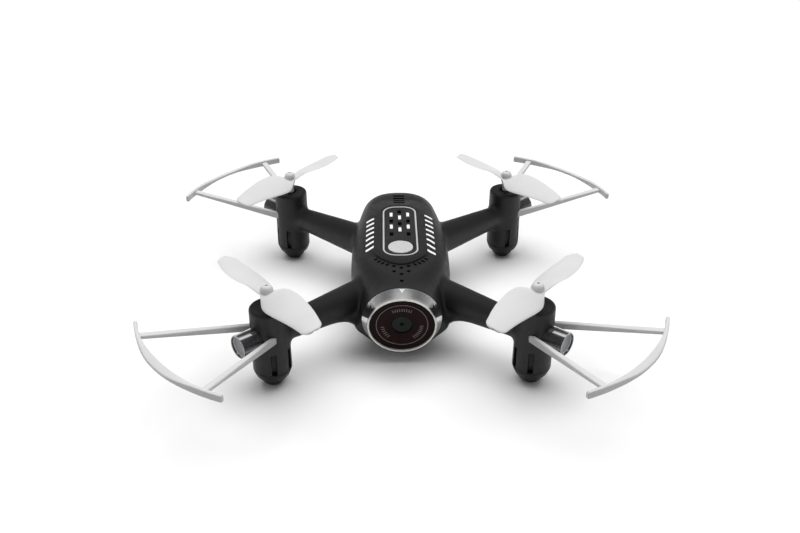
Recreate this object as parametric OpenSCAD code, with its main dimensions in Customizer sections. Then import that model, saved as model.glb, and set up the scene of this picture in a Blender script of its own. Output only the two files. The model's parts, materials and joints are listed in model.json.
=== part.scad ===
// Mini palm drone: four coreless motors on a one-piece X airframe, plug-in
// propeller guards and a nose camera. +X is right, -Y is the nose, +Z is up.
// The origin is on the ground, midway between the four motor axes.

/* [Airframe] */
// Distance between two neighbouring motor axes
motor_pitch = 70.8; // [66:0.2:74]
// Height of the flat deck above the ground
deck_z = 26; // [25.5:0.1:26.6]
// Half width of the body at its widest level
body_half_w = 14.6; // [14:0.1:15.5]
// Wall thickness of the shells
wall = 1.3; // [1.1:0.1:1.4]
// Height of the joint plane between the two shells
split_z = 13; // [12.8:0.1:13.2]

/* [Motor pods] */
// Outer radius of a pod at its foot end
pod_r = 5.3; // [5.2:0.05:5.5]
// Height of the top of a pod
pod_top = 24.3; // [24:0.1:24.8]
// Radius of a motor can
motor_r = 3.5; // [3.4:0.05:3.5]
// Length of a motor can
motor_len = 16; // [15:0.5:16]

/* [Propellers] */
// Radius of the propeller disc
prop_r = 23; // [20:0.5:24]
// Height of the blades' mean plane
prop_z = 28.6; // [28.4:0.1:29]
// Direction of a blade at rest, from the X axis
prop_rest = 126.5; // [120:0.5:135]

/* [Guards] */
// Direction of the guards and lights out of each pod, from the X axis
guard_axis = 40.7; // [39:0.1:42]
// Radius of the guard arc
guard_r = 46.7; // [45:0.1:48]
// How far the arc's centre lies behind its motor axis
guard_back = 13.7; // [12.5:0.1:15]
// Half of the angle that a guard arc spans
guard_half = 27; // [25:0.5:28]
// Height of the middle of the guard arc
guard_z = 20.5; // [20:0.1:21.5]

/* [Nose camera] */
// How far the camera window looks down, in degrees
nose_tilt = 8; // [5:0.5:10]
// Radius of the round camera window
window_r = 9.05; // [8.8:0.05:9.05]
// Largest radius of the bezel ring
bezel_r = 11.1; // [11:0.1:11.3]

/* [Deck] */
// Width of the deck panel
panel_w = 10.8; // [10:0.2:11]
// Length of the deck panel
panel_len = 31.8; // [31:0.2:32.2]
// Radius of the power button
button_r = 3.65; // [3.4:0.05:3.7]
// How far the power button travels
button_travel = 0.5; // [0.3:0.1:0.5]

/* [Hidden] */

$fn = 48;
hull_fn = 32;
tiny = 0.02;
gap = 0.05;
big = 60;

half_pitch = motor_pitch / 2;
shell_black = "#2c2c2e";
pod_black = "#232325";
white_plastic = "#eeeeee";
board_green = "#1d5a38";

// ---------- body outline ----------
// Levels of the body from the belly up: height, width share, rear end in Y.
body_low = 3.6;
body_mid_w_z = 16;
rear_y = 38;
outline_steps = 9;
front_len = 39.8;
nose_y = -29.3;
nose_z = 13.9;
nose_back = 2.6;
nose_face_r = 11.35;
levels = [
    [body_low, 0.50, 27.5],
    [5, 0.68, 32.3],
    [8.5, 0.87, 36.6],
    [12, 0.97, 37.7],
    [body_mid_w_z, 1, rear_y],
    [deck_z - 7, 0.99, 37.6],
    [deck_z - 4, 0.94, 36.4],
    [deck_z - 2, 0.85, 34.4],
    [deck_z - 1, 0.76, 32.3],
    [deck_z, 0.60, 28.6]
];

// Half width of the body at y for a level whose rear end is at y_end.
function half_w(y, y_end) =
    y > 0
    ? body_half_w * pow(1 - pow(min(y / y_end, 1), 3.6), 0.4545)
    : body_half_w * pow(1 - pow(-y / front_len, 2.6), 0.5);

// The nose face leans with the camera, so its Y depends on the height.
function face_y(z) = nose_y + nose_back - (z - nose_z) * sin(nose_tilt);

// Half width that the round nose face allows at height z.
function face_w(z) = sqrt(max(pow(nose_face_r, 2) - pow(z - nose_z, 2), 1));

function side_points(z, share, y_end, inset) =
    let (y0 = face_y(z), y1 = y_end - inset)
    concat(
        [[max(min(face_w(z), share * half_w(y0, y_end)) - inset, 0.5), y0]],
        [for (i = [1:outline_steps])
            let (t = i / outline_steps, y = y0 + 7 + (y1 - y0 - 7) * sin(90 * t))
            [max(share * half_w(y, y1) - inset, 0.4), y]]
    );

// A convex body: slices at the levels, each moved in by inset.
module body_form(inset) {
    hull()
        for (level = levels) {
            z = level[0] < body_mid_w_z ? level[0] + inset : level[0] - inset;
            side = side_points(level[0], level[1], level[2], inset);
            mirrored = [for (i = [len(side) - 1:-1:0]) [-side[i][0], side[i][1]]];
            translate([0, 0, z - tiny / 2])
                linear_extrude(tiny) polygon(concat(side, mirrored));
        }
}

// ---------- placing ----------
// Draws its children, modelled for the rear right corner, in another corner.
module corner(sx, sy) {
    mirror([sx < 0 ? 1 : 0, 0, 0])
        mirror([0, sy < 0 ? 1 : 0, 0])
            translate([half_pitch, half_pitch, 0]) children();
}

module all_corners() {
    for (sx = [-1, 1])
        for (sy = [-1, 1])
            corner(sx, sy) children();
}

// Local Z runs out of the pod between the guard's struts, at height z.
module outward(z) {
    translate([0, 0, z]) rotate([0, 90, guard_axis]) children();
}

// Local Z runs out of the camera window; zero is the window's face.
module nose() {
    translate([0, nose_y, nose_z]) rotate([90 + nose_tilt, 0, 0]) children();
}

module rounded_rect(w, l, r) {
    square([w - 2 * r, l], center = true);
    square([w, l - 2 * r], center = true);
    for (x = [-1, 1])
        for (y = [-1, 1])
            translate([x * (w / 2 - r), y * (l / 2 - r)]) circle(r);
}

// ---------- arms and pods ----------
arm_slope = 0.8;
arm_angle = atan(arm_slope);
arm_z = 15.6;
arm_pod_w = 6;
arm_pod_h = 6.6;
arm_body_w = 8.8;
arm_body_h = 10.8;
arm_len = 32;
channel_w = 2.6;
channel_h = 2.6;
foot_z = 5.2;
pod_top_r = 5.15;
collar_r = 4.4;
collar_top = 12;
motor_z = 5.8;
motor_top = motor_z + motor_len;
sleeve_r = motor_r + gap;
shaft_r = 0.4;
shaft_clear = 0.03;
slot_w = 1.5;
slot_z = [5.4, 11.8];
slot_angles = [for (a = [-120, -62, 62, 120]) guard_axis + a];

module arm_form() {
    hull() {
        arm_section(0, arm_pod_w, arm_pod_h);
        arm_section(arm_len, arm_body_w, arm_body_h);
    }
}

// A thin oval across the arm, at a distance from the motor axis.
module arm_section(distance, w, h) {
    rotate([0, 0, 180 + arm_angle])
        translate([distance, 0, arm_z])
            rotate([0, 90, 0])
                linear_extrude(tiny) scale([h / w, 1]) circle(w / 2, $fn = hull_fn);
}

module pod_form() {
    rotate_extrude()
        polygon([[0, foot_z], [pod_r, foot_z], [pod_top_r, pod_top - 0.8],
                 [pod_top_r - 0.25, pod_top - 0.22], [pod_top_r - 0.8, pod_top],
                 [0, pod_top]]);
}

module pod_cuts() {
    translate([0, 0, foot_z - 1]) cylinder(h = collar_top - foot_z + 1, r = collar_r);
    translate([0, 0, foot_z]) cylinder(h = motor_top + 0.9 - foot_z, r = sleeve_r);
    translate([0, 0, motor_top]) cylinder(h = 8, r = 1.9);
    for (a = slot_angles)
        rotate([0, 0, a])
            translate([collar_r - 0.6, -slot_w / 2, slot_z[0]])
                cube([3, slot_w, slot_z[1] - slot_z[0]]);
    outward(lens_z) translate([0, 0, lens_seat]) cylinder(h = 8, r = lens_r + gap);
    guard_bars(gap, 1.15);
}

// Wire channel from the body, under the arm, and the groove down the pod.
module wire_channel() {
    rotate([0, 0, 180 + arm_angle]) {
        translate([0, -channel_w / 2, split_z - tiny])
            cube([arm_len, channel_w, channel_h]);
        translate([0, -channel_w / 2, foot_z + 1])
            cube([4.75, channel_w, split_z - foot_z]);
    }
}

// ---------- shells ----------
screw_spots = [[10.4, 21.5], [10.6, -11.5]];
screw_r = 0.7;
screw_head_r = 1.45;
post_r = 1.85;
screw_seat_z = 8.6;
screw_len = 8.5;
board_z = 17;
board_t = 1;
board_spots = [[6.4, 20.5], [-6.4, -9.8]];
vent_r = 0.55;
vent_y = -17.4;
vent_pitch = 3.35;
vent_side_x = 2.05;
vent_slots = 4;
grille_y = 22.6;
grille_pitch = 1.9;
grille_w = 3.6;
door_w = 16.6;
door_low_z = 6.3;
hinge_y = 32.7;
hinge_z = 6.3;
knuckle_r = 0.85;
hinge_pin_r = 0.45;

module screw_sites() {
    for (spot = screw_spots)
        for (sx = [-1, 1])
            translate([sx * spot[0], spot[1], 0]) children();
}

module board_sites() {
    for (spot = board_spots)
        translate([spot[0], spot[1], 0]) children();
}

module upper_half() {
    translate([-big, -big, split_z]) cube([2 * big, 2 * big, big]);
}

module lower_half() {
    translate([-big, -big, split_z - gap - big]) cube([2 * big, 2 * big, big]);
}

module nose_seat(clear) {
    nose() {
        translate([0, 0, -2.6]) cylinder(h = 12, r = nose_face_r + 4);
        translate([0, 0, -7.6]) cylinder(h = 6, r = 10 + clear);
    }
}

// Round vents in a wedge, with slanted slots along an arc beside them.
module nose_vents() {
    for (row = [0:2])
        translate([0, vent_y - row * vent_pitch, 20]) cylinder(h = 10, r = vent_r, $fn = 24);
    for (side = [-1, 1]) {
        for (row = [0:1])
            translate([side * vent_side_x, vent_y + 0.95 - row * 2.85, 20])
                cylinder(h = 10, r = vent_r, $fn = 24);
        for (k = [0:vent_slots - 1])
            translate([side * (3.9 + k * 1.1), vent_y + 1.8 + k * 0.75 + k * k * 0.12, 20])
                rotate([0, 0, side * 35]) translate([-0.35, -0.75, 0]) cube([0.7, 1.5, 10]);
    }
}

module rear_grille() {
    for (k = [0:3])
        translate([-grille_w / 2, grille_y + k * grille_pitch, 20]) cube([grille_w, 1.1, 10]);
}

module door_zone(clear) {
    translate([-door_w / 2 - clear, 29, door_low_z])
        cube([door_w + 2 * clear, 12, split_z - door_low_z + clear]);
}

module knuckle_line(r, half_len) {
    translate([-half_len, hinge_y, hinge_z]) rotate([0, 90, 0]) cylinder(h = 2 * half_len, r = r);
}

module top_shell() {
    color(shell_black)
        difference() {
            union() {
                intersection() {
                    union() {
                        body_form(0);
                        all_corners() arm_form();
                    }
                    upper_half();
                }
                all_corners() pod_form();
            }
            difference() {
                body_form(wall);
                screw_sites() translate([0, 0, split_z]) cylinder(h = big, r = post_r);
                board_sites() translate([0, 0, board_z + board_t]) cylinder(h = big, r = 1.5);
            }
            all_corners() {
                pod_cuts();
                wire_channel();
            }
            nose_seat(gap);
            nose_vents();
            rear_grille();
            panel_zone(gap, deck_z - 0.8);
            button_zone();
            panel_vents(deck_z - 3);
            screw_sites() translate([0, 0, split_z - 1]) cylinder(h = 5.5, r = screw_r + gap, $fn = 24);
            board_sites() translate([0, 0, board_z]) cylinder(h = 4, r = screw_r + gap, $fn = 24);
        }
}

module bottom_shell() {
    color(shell_black)
        difference() {
            intersection() {
                union() {
                    body_form(0);
                    all_corners() arm_form();
                }
                lower_half();
            }
            difference() {
                body_form(wall);
                screw_sites() cylinder(h = big, r = post_r);
                hinge_ears();
            }
            all_corners() {
                cylinder(h = big, r = pod_r + 0.15);
            }
            nose_seat(gap);
            difference() {
                door_zone(0.15);
                hinge_ears();
            }
            knuckle_line(knuckle_r + 0.4, door_w / 2 + 0.15);
            knuckle_line(hinge_pin_r + gap, door_w / 2 + 1);
            screw_sites() {
                cylinder(h = screw_seat_z, r = screw_head_r + 0.15, $fn = 24);
                cylinder(h = big, r = screw_r + 0.15, $fn = 24);
            }
        }
}

// Two ears that hold the ends of the door's hinge pins.
module hinge_ears() {
    for (sx = [-1, 1])
        translate([sx * (door_w / 2 + 0.9) - 0.7, hinge_y - 2.2, 0]) cube([1.4, 8, hinge_z + 1.6]);
}

module battery_door() {
    color(shell_black)
        difference() {
            union() {
                intersection() {
                    difference() {
                        body_form(0);
                        body_form(wall);
                    }
                    translate([0, 0, 0.9]) door_zone(0);
                    translate([-door_w / 2, hinge_y - 0.9, hinge_z])
                        cube([door_w, 10, split_z - hinge_z - 0.15]);
                }
                knuckle_line(knuckle_r, door_w / 2);
                knuckle_line(hinge_pin_r, door_w / 2 + 0.8);
                translate([-door_w / 2, hinge_y, hinge_z - 0.3]) cube([door_w, 1, 1.3]);
            }
        }
}

// ---------- deck panel ----------
panel_y = 4;
panel_corner = 4.2;
panel_base = deck_z - 0.8;
trim_w = 0.5;
trim_in = 0.25;
button_y = -6.5;
button_hole_r = button_r + 0.3;
inlay_w = 0.9;
inlay_len = 2.6;
square_w = 1.15;
square_len = 2.1;
// Rows of marks down the panel: place across, place along.
mark_x = 2.55;
square_spots = [[0, 16], [-mark_x, 9.8], [mark_x, 9.8], [0, 8.1], [-mark_x, 1.4], [mark_x, 1.4]];
inlay_spots = [[-mark_x, 14.1], [mark_x, 14.1], [0, 12.2],
               [-mark_x, 6.1], [mark_x, 6.1], [0, 4.3]];

module panel_zone(clear, z) {
    translate([0, panel_y, z])
        linear_extrude(3) rounded_rect(panel_w + 2 * clear, panel_len + 2 * clear, panel_corner);
}

module button_zone() {
    translate([0, button_y, deck_z - 3]) cylinder(h = 6, r = button_hole_r);
}

module panel_vents(z) {
    for (spot = square_spots)
        translate([spot[0] - square_w / 2, spot[1] - square_len / 2, z])
            cube([square_w, square_len, 6]);
}

module trim_ring(clear, h) {
    translate([0, panel_y, deck_z - 0.4])
        linear_extrude(h)
            difference() {
                rounded_rect(panel_w - 2 * trim_in + 2 * clear, panel_len - 2 * trim_in + 2 * clear,
                             panel_corner - trim_in);
                rounded_rect(panel_w - 2 * trim_in - 2 * trim_w - 2 * clear,
                             panel_len - 2 * trim_in - 2 * trim_w - 2 * clear,
                             panel_corner - trim_in - trim_w);
            }
}

module inlay_bars(clear, h) {
    for (spot = inlay_spots)
        translate([spot[0] - inlay_w / 2 - clear, spot[1] - inlay_len / 2 - clear, deck_z - 0.4])
            cube([inlay_w + 2 * clear, inlay_len + 2 * clear, h]);
}

module deck_panel() {
    color("#3a3a3c")
        difference() {
            translate([0, panel_y, panel_base])
                linear_extrude(0.8) rounded_rect(panel_w, panel_len, panel_corner);
            trim_ring(0, 2);
            inlay_bars(0, 2);
            panel_vents(deck_z - 3);
            button_zone();
        }
}

module panel_trim() {
    color("#dcdcdc") trim_ring(-0.01, 0.45);
}

module panel_inlays() {
    color("white") inlay_bars(-0.01, 0.45);
}

// ---------- power button and switch ----------
switch_top = board_z + board_t + 3;
plunger_top = switch_top + 0.35 + button_travel;
flange_r = button_r + 0.8;
flange_top = deck_z - wall - 0.25;

module power_button() {
    color("silver")
        translate([0, button_y, 0]) {
            translate([0, 0, flange_top - 0.2]) cylinder(h = deck_z + 0.15 - flange_top + 0.2, r = button_r);
            translate([0, 0, flange_top - 0.9]) cylinder(h = 0.9, r = flange_r);
            translate([0, 0, plunger_top + gap]) cylinder(h = flange_top - plunger_top - 0.3, r = 1.1);
        }
}

module switch_case() {
    color("#202020")
        difference() {
            translate([-2.3, button_y - 2.3, board_z + board_t]) cube([4.6, 4.6, 3]);
            translate([0, button_y, board_z + board_t + 1.2]) cylinder(h = 3, r = 1.2 + gap);
        }
}

module switch_plunger() {
    color("#8a3030")
        translate([0, button_y, plunger_top - 1.8]) cylinder(h = 1.8, r = 1.2);
}

// ---------- nose camera ----------
notch_from = 6.5;
notch_to = 27;
notch_clear = 0.4;
barrel_r = 2.85;

module notch_sector(from, to, r) {
    rotate([0, 0, from]) rotate_extrude(angle = to - from) translate([9.75, 0]) square([r, 6]);
}

module camera_bezel() {
    color("#c8c8cc")
        nose()
            difference() {
                rotate_extrude($fn = 96)
                    polygon([[8.3, -5], [8.3, -0.9], [window_r + gap, -0.9], [window_r + gap, 0.5],
                             [9.3, 0.6], [9.5, 0.4], [9.55, 0], [bezel_r, -2.3], [bezel_r, -2.55],
                             [9.95, -2.55], [9.95, -5]]);
                for (m = [0, 1])
                    mirror([m, 0, 0]) translate([0, 0, -4.5]) notch_sector(notch_from, notch_to, 3);
            }
}

module camera_window() {
    color("#3a1512")
        nose()
            difference() {
                translate([0, 0, -0.85]) cylinder(h = 0.85, r = window_r, $fn = 96);
                translate([0, 0, -2]) cylinder(h = 3, r = barrel_r + gap);
            }
}

// A cup behind the window, with two lugs that show through the bezel's notches.
module camera_housing() {
    color(pod_black)
        nose() {
            difference() {
                translate([0, 0, -4.4]) cylinder(h = 3.5, r = 8.25);
                translate([0, 0, -3.4]) cylinder(h = 3, r = 7.2);
                translate([0, 0, -6]) cylinder(h = 6, r = barrel_r + gap);
            }
            for (m = [0, 1])
                mirror([m, 0, 0])
                    translate([0, 0, -4.4])
                        rotate([0, 0, notch_from + notch_clear])
                            rotate_extrude(angle = notch_to - notch_from - 2 * notch_clear)
                                polygon([[9.96, 0.15], [9.96, 3.9], [10.3, 3.2], [bezel_r, 2.1],
                                         [bezel_r, 1.95], [10, 1.95]]);
        }
}

module camera_barrel() {
    color("#1f2624")
        nose()
            difference() {
                union() {
                    translate([0, 0, -5.2]) cylinder(h = 4.9, r = barrel_r);
                    translate([0, 0, -6.8]) cylinder(h = 1.7, r = 3.6);
                }
                translate([0, 0, -1.2]) cylinder(h = 3, r = 1);
            }
}

module camera_lens() {
    color("#0b1010")
        nose() translate([0, 0, -1.15]) cylinder(h = 0.6, r = 0.95);
}

module camera_board() {
    color(board_green)
        nose() translate([-5, -5, -7.9]) cube([10, 10, 1]);
}

// A flat ribbon from the camera board up to the front of the flight board.
module camera_cable() {
    color("#b07030")
        translate([-3, 0, 0])
            rotate([90, 0, 90])
                linear_extrude(6)
                    polygon([[-20.2, 11.6], [-19.9, 11.6], [-16.4, 16.65], [-12.7, 16.65],
                             [-12.7, 16.95], [-16.55, 16.95], [-20.2, 11.9]]);
}

// ---------- electronics ----------
board_w = 16.6;
board_len = 38;
board_y = 4;

module board_slab(w, l, y, z, t) {
    translate([-w / 2, y - l / 2, z]) cube([w, l, t]);
}

module flight_board() {
    color(board_green)
        difference() {
            board_slab(board_w, board_len, board_y, board_z, board_t);
            board_sites() translate([0, 0, board_z - 1]) cylinder(h = 3, r = screw_r + 0.15, $fn = 24);
        }
}

module board_chips() {
    top = board_z + board_t;
    color("#1a1a1a") {
        translate([-3.5, 4, top]) cube([7, 7, 0.9]);
        translate([-6.5, -4.2, top]) cube([2.5, 3.5, 0.8]);
        translate([4, -4.2, top]) cube([2.5, 3.5, 0.8]);
        translate([-2.5, 16, top]) cube([5, 4, 1]);
        for (x = [-7, 5.4])
            for (y = [0.6, 13])
                translate([x, y, top]) cube([1.6, 2.9, 0.9]);
    }
}

module gyro_chip() {
    color("#303035") translate([-1.5, -0.8, board_z + board_t]) cube([3, 3, 0.9]);
}

module antenna() {
    color("#404040") {
        translate([7, 17.5, board_z + board_t]) cylinder(h = 2.2, r = 0.4, $fn = 24);
        translate([7, 17.5, board_z + board_t + 1.8]) rotate([90, 0, 0]) cylinder(h = 22, r = 0.4, $fn = 24);
    }
}

socket_y = -12.6;
socket_low = 13.2;
plug_len = 4.6;

module board_socket() {
    color("#f0ead8")
        difference() {
            translate([-3, socket_y, socket_low]) cube([6, 4.6, board_z - socket_low]);
            translate([-2.4, socket_y + 1, socket_low + 0.5]) cube([4.8, 4.6, 2.7]);
        }
}

module battery_plug() {
    color("#d8d2c0")
        translate([-2.35, socket_y + 1.1, socket_low + 0.55]) cube([4.7, plug_len, 2.6]);
}

battery_w = 14;
battery_len = 29;
battery_y = -4.6;
battery_z = 6.8;
battery_h = 5.7;
guard_board_t = 1;

module battery_cell() {
    color("#b9bcc4")
        translate([0, battery_y + battery_len / 2, battery_z])
            linear_extrude(battery_h) rounded_rect(battery_w, battery_len, 1.2);
}

module battery_guard_board() {
    color(board_green)
        translate([-6, battery_y - gap - guard_board_t, battery_z + 0.6]) cube([12, guard_board_t, 4]);
}

// Two leads from the cell's protection board to the plug.
module battery_leads() {
    low = battery_z + 3;
    back = battery_y - gap - guard_board_t;
    plug_z = socket_low + 1.8;
    plug_end = socket_y + 1.1 + plug_len;
    for (sx = [-1, 1])
        color(sx < 0 ? "#b02020" : "#151515")
            translate([sx * 1.1, 0, 0]) {
                translate([0, back - 0.7, low]) rotate([-90, 0, 0]) cylinder(h = 0.7, r = 0.45, $fn = 24);
                translate([0, back - 0.7, low]) cylinder(h = plug_z - low, r = 0.45, $fn = 24);
                translate([0, back - 0.7, low]) sphere(r = 0.45, $fn = 24);
                translate([0, back - 0.7, plug_z]) sphere(r = 0.45, $fn = 24);
                translate([0, plug_end, plug_z])
                    rotate([-90, 0, 0]) cylinder(h = back - 0.7 - plug_end, r = 0.45, $fn = 24);
            }
}

module body_screws() {
    color("#55555a")
        screw_sites() {
            translate([0, 0, screw_seat_z - 1.1])
                difference() {
                    cylinder(h = 1.1, r = screw_head_r, $fn = 24);
                    for (a = [0, 90])
                        rotate([0, 0, a]) translate([-0.9, -0.2, -tiny]) cube([1.8, 0.4, 0.6]);
                }
            translate([0, 0, screw_seat_z - tiny]) cylinder(h = screw_len, r = screw_r, $fn = 24);
        }
}

module board_screws() {
    color("#55555a")
        board_sites() {
            translate([0, 0, board_z - 0.9])
                difference() {
                    cylinder(h = 0.9, r = 1.3, $fn = 24);
                    for (a = [0, 90])
                        rotate([0, 0, a]) translate([-0.8, -0.18, -tiny]) cube([1.6, 0.36, 0.5]);
                }
            translate([0, 0, board_z - tiny]) cylinder(h = 3.8, r = screw_r, $fn = 24);
        }
}

// ---------- motors ----------
magnet_r = 1.9;
winding_in = 2.25;
winding_out = 2.8;
can_in = 3.15;
bush_top = motor_top + 0.8;

module motor_can() {
    color("#b8b8bc")
        difference() {
            union() {
                translate([0, 0, motor_z]) cylinder(h = motor_len, r = motor_r);
                translate([0, 0, motor_top - tiny]) cylinder(h = bush_top - motor_top, r = 1.3);
            }
            translate([0, 0, motor_z + 0.9]) cylinder(h = motor_len - 1.8, r = can_in);
            translate([0, 0, motor_top - 2]) cylinder(h = 4, r = shaft_r + shaft_clear);
            translate([0, 0, motor_z - 1]) cylinder(h = 3, r = shaft_r + shaft_clear);
        }
}

// The fixed magnet inside the winding, standing on the can's floor.
module motor_magnets() {
    color("#707078")
        all_corners()
            difference() {
                translate([0, 0, motor_z + 0.9]) cylinder(h = motor_len - 4.2, r = magnet_r);
                cylinder(h = big, r = shaft_r + shaft_clear);
            }
}

// Shaft and cup winding, one turning piece.
module rotor() {
    color("#c07040") {
        translate([0, 0, motor_z + 0.1]) cylinder(h = 23.6, r = shaft_r);
        difference() {
            translate([0, 0, motor_z + 1.6]) cylinder(h = motor_len - 3.2, r = winding_out);
            translate([0, 0, motor_z]) cylinder(h = motor_len - 3, r = winding_in);
        }
    }
}

// Two leads a motor: up the pod's groove, along the arm, and up to the flight board.
lead_r = 0.4;
lead_in = 4.15;
lead_end = 35;
lead_z = 14.5;

module motor_leads() {
    for (side = [-1, 1])
        color(side < 0 ? "#a02020" : "#202080")
            all_corners()
                rotate([0, 0, 180 + arm_angle])
                    translate([0, side * 0.55, 0]) {
                        translate([lead_in, 0, motor_z + 1.6])
                            cylinder(h = lead_z - motor_z - 1.6, r = lead_r, $fn = 24);
                        translate([lead_in, 0, lead_z]) sphere(r = lead_r, $fn = 24);
                        translate([lead_in, 0, lead_z])
                            rotate([0, 90, 0]) cylinder(h = lead_end - lead_in, r = lead_r, $fn = 24);
                        translate([lead_end, 0, lead_z]) sphere(r = lead_r, $fn = 24);
                        translate([lead_end, 0, lead_z])
                            cylinder(h = board_z - gap - lead_z, r = lead_r, $fn = 24);
                    }
}

module foot_cap() {
    color(pod_black)
        difference() {
            union() {
                rotate_extrude()
                    polygon([[0, 0], [1.9, 0], [2.35, 0.35], [2.9, 1.25], [3.15, 1.25], [3.6, 2.1],
                             [4.3, 3.05], [4.5, 3.05], [5, 4.15], [pod_r, foot_z - gap],
                             [collar_r - gap, foot_z - gap], [collar_r - gap, collar_top - 0.1],
                             [sleeve_r + 0.1, collar_top - 0.1], [sleeve_r + 0.1, motor_z - 0.1],
                             [0, motor_z - 0.1]]);
                for (a = slot_angles)
                    rotate([0, 0, a])
                        translate([collar_r - 0.4, -slot_w / 2 + 0.2, slot_z[0] + 2.1])
                            cube([0.75, slot_w - 0.4, 3.9]);
            }
            rotate([0, 0, 180 + arm_angle])
                translate([sleeve_r - 0.2, -channel_w / 2, motor_z]) cube([2, channel_w, 10]);
            for (a = slot_angles)
                rotate([0, 0, a])
                    translate([sleeve_r, -slot_w / 2, slot_z[0] + gap])
                        cube([2, slot_w, 2]);
        }
}

// ---------- propeller ----------
hub_r = 1.95;
hub_top = 30.8;
sleeve_low = 24.9;
blade_t = 0.7;

// One cross-section of a blade: place along it, front edge, back edge, pitch.
module blade_section(s, lead, trail, pitch, t) {
    rotate([pitch, 0, 0]) translate([s, -trail, -t / 2]) cube([0.3, lead + trail, t]);
}

module blade_tip() {
    rotate([15, 0, 0])
        for (c = [-1, 1])
            translate([prop_r - 1.9, c * 1.1, -0.25]) cylinder(h = 0.5, r = 1.9, $fn = 16);
}

module blade() {
    hull() {
        blade_section(0.4, 1.5, 1.6, 26, 1);
        blade_section(6.5, 4.4, 4.3, 21, blade_t);
    }
    hull() {
        blade_section(6.5, 4.4, 4.3, 21, blade_t);
        blade_section(14.5, 4.4, 3.6, 17, 0.6);
    }
    hull() {
        blade_section(14.5, 4.4, 3.6, 17, 0.6);
        blade_tip();
    }
}

module propeller() {
    color(white_plastic)
        difference() {
            union() {
                rotate([0, 0, prop_rest])
                    translate([0, 0, prop_z])
                        for (a = [0, 180])
                            rotate([0, 0, a]) blade();
                rotate_extrude()
                    polygon([[0, sleeve_low], [0.95, sleeve_low], [1.25, 26.6], [hub_r - 0.2, 27.4],
                             [hub_r, 28], [hub_r, 29.3], [hub_r - 0.25, 30], [hub_r - 0.75, 30.5],
                             [0.6, hub_top], [0, hub_top]]);
            }
            translate([0, 0, 20]) cylinder(h = big, r = shaft_r - 0.01);
        }
}

// ---------- guards ----------
bar_w = 1.9;
bar_h = 2.2;
arc_w = 1.6;
arc_h = 2.4;
bar_foot_a = guard_axis + 62;
bar_end_a = guard_axis + 19.8;
bar_foot = [5.32 * cos(bar_foot_a), 5.32 * sin(bar_foot_a), 16.5];
bar_end = [guard_r * cos(bar_end_a) - guard_back * cos(guard_axis),
           guard_r * sin(bar_end_a) - guard_back * sin(guard_axis), guard_z - 0.1];
bar_run = bar_end - bar_foot;
bar_len = norm(bar_run);
bar_az = atan2(bar_run[1], bar_run[0]);
bar_el = asin(bar_run[2] / bar_len);

// The two struts of a guard; back is how far they reach into the pod.
module guard_bars(clear, back) {
    for (m = [0, 1])
        rotate([0, 0, guard_axis]) mirror([0, m, 0]) rotate([0, 0, -guard_axis])
            translate(bar_foot)
                rotate([0, 90 - bar_el, bar_az])
                    translate([0, 0, -back])
                        linear_extrude(bar_len + back + 1)
                            rounded_rect(bar_h + 2 * clear, bar_w + 2 * clear, 0.6);
}

module guard() {
    color(white_plastic) {
        guard_bars(0, 1);
        rotate([0, 0, guard_axis]) translate([-guard_back, 0, 0]) rotate([0, 0, -guard_half])
            rotate_extrude(angle = 2 * guard_half, $fn = 160)
                translate([guard_r, guard_z]) rounded_rect(arc_w, arc_h, 0.6);
    }
}

// ---------- light lenses ----------
lens_z = 15.9;
lens_r = 3.3;
lens_wall = 0.5;
lens_end = 10.2;
lens_seat = 4.2;
lens_face = 9.5;

module led_lens() {
    color([0.8, 0.85, 0.9, 0.5])
        outward(lens_z)
            rotate_extrude()
                polygon([[lens_r - lens_wall, lens_seat + gap], [lens_r, lens_seat + gap],
                         [lens_r, lens_end - 0.15], [lens_r - 0.15, lens_end],
                         [lens_r - lens_wall, lens_end], [lens_r - lens_wall, lens_face],
                         [0, lens_face], [0, lens_face - 0.6],
                         [lens_r - lens_wall, lens_face - 0.6]]);
}

module led_boards() {
    color("#f2f2f2")
        all_corners() outward(lens_z) translate([0, 0, lens_seat + 0.05]) cylinder(h = 0.7, r = 2.7);
}

module led_chips() {
    color("#ffe9a0")
        all_corners()
            outward(lens_z)
                translate([0, 0, lens_seat + 0.75]) {
                    cylinder(h = 1.5, r = 1.5);
                    translate([0, 0, 1.5]) sphere(r = 1.48);
                }
}

top_shell();
bottom_shell();
deck_panel();
panel_trim();
panel_inlays();
power_button();
switch_case();
switch_plunger();
camera_bezel();
camera_window();
camera_housing();
camera_barrel();
camera_lens();
camera_board();
camera_cable();
flight_board();
board_chips();
gyro_chip();
antenna();
board_socket();
battery_plug();
battery_leads();
battery_cell();
battery_guard_board();
battery_door();
body_screws();
board_screws();
motor_leads();
motor_magnets();
led_boards();
led_chips();
corner(-1, -1) motor_can();  // motor_can_front_left
corner(1, -1) motor_can();  // motor_can_front_right
corner(-1, 1) motor_can();  // motor_can_rear_left
corner(1, 1) motor_can();  // motor_can_rear_right
corner(-1, -1) rotor();  // rotor_front_left
corner(1, -1) rotor();  // rotor_front_right
corner(-1, 1) rotor();  // rotor_rear_left
corner(1, 1) rotor();  // rotor_rear_right
corner(-1, -1) propeller();  // propeller_front_left
corner(1, -1) propeller();  // propeller_front_right
corner(-1, 1) propeller();  // propeller_rear_left
corner(1, 1) propeller();  // propeller_rear_right
corner(-1, -1) guard();  // guard_front_left
corner(1, -1) guard();  // guard_front_right
corner(-1, 1) guard();  // guard_rear_left
corner(1, 1) guard();  // guard_rear_right
corner(-1, -1) foot_cap();  // foot_cap_front_left
corner(1, -1) foot_cap();  // foot_cap_front_right
corner(-1, 1) foot_cap();  // foot_cap_rear_left
corner(1, 1) foot_cap();  // foot_cap_rear_right
corner(-1, -1) led_lens();  // led_lens_front_left
corner(1, -1) led_lens();  // led_lens_front_right
corner(-1, 1) led_lens();  // led_lens_rear_left
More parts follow.
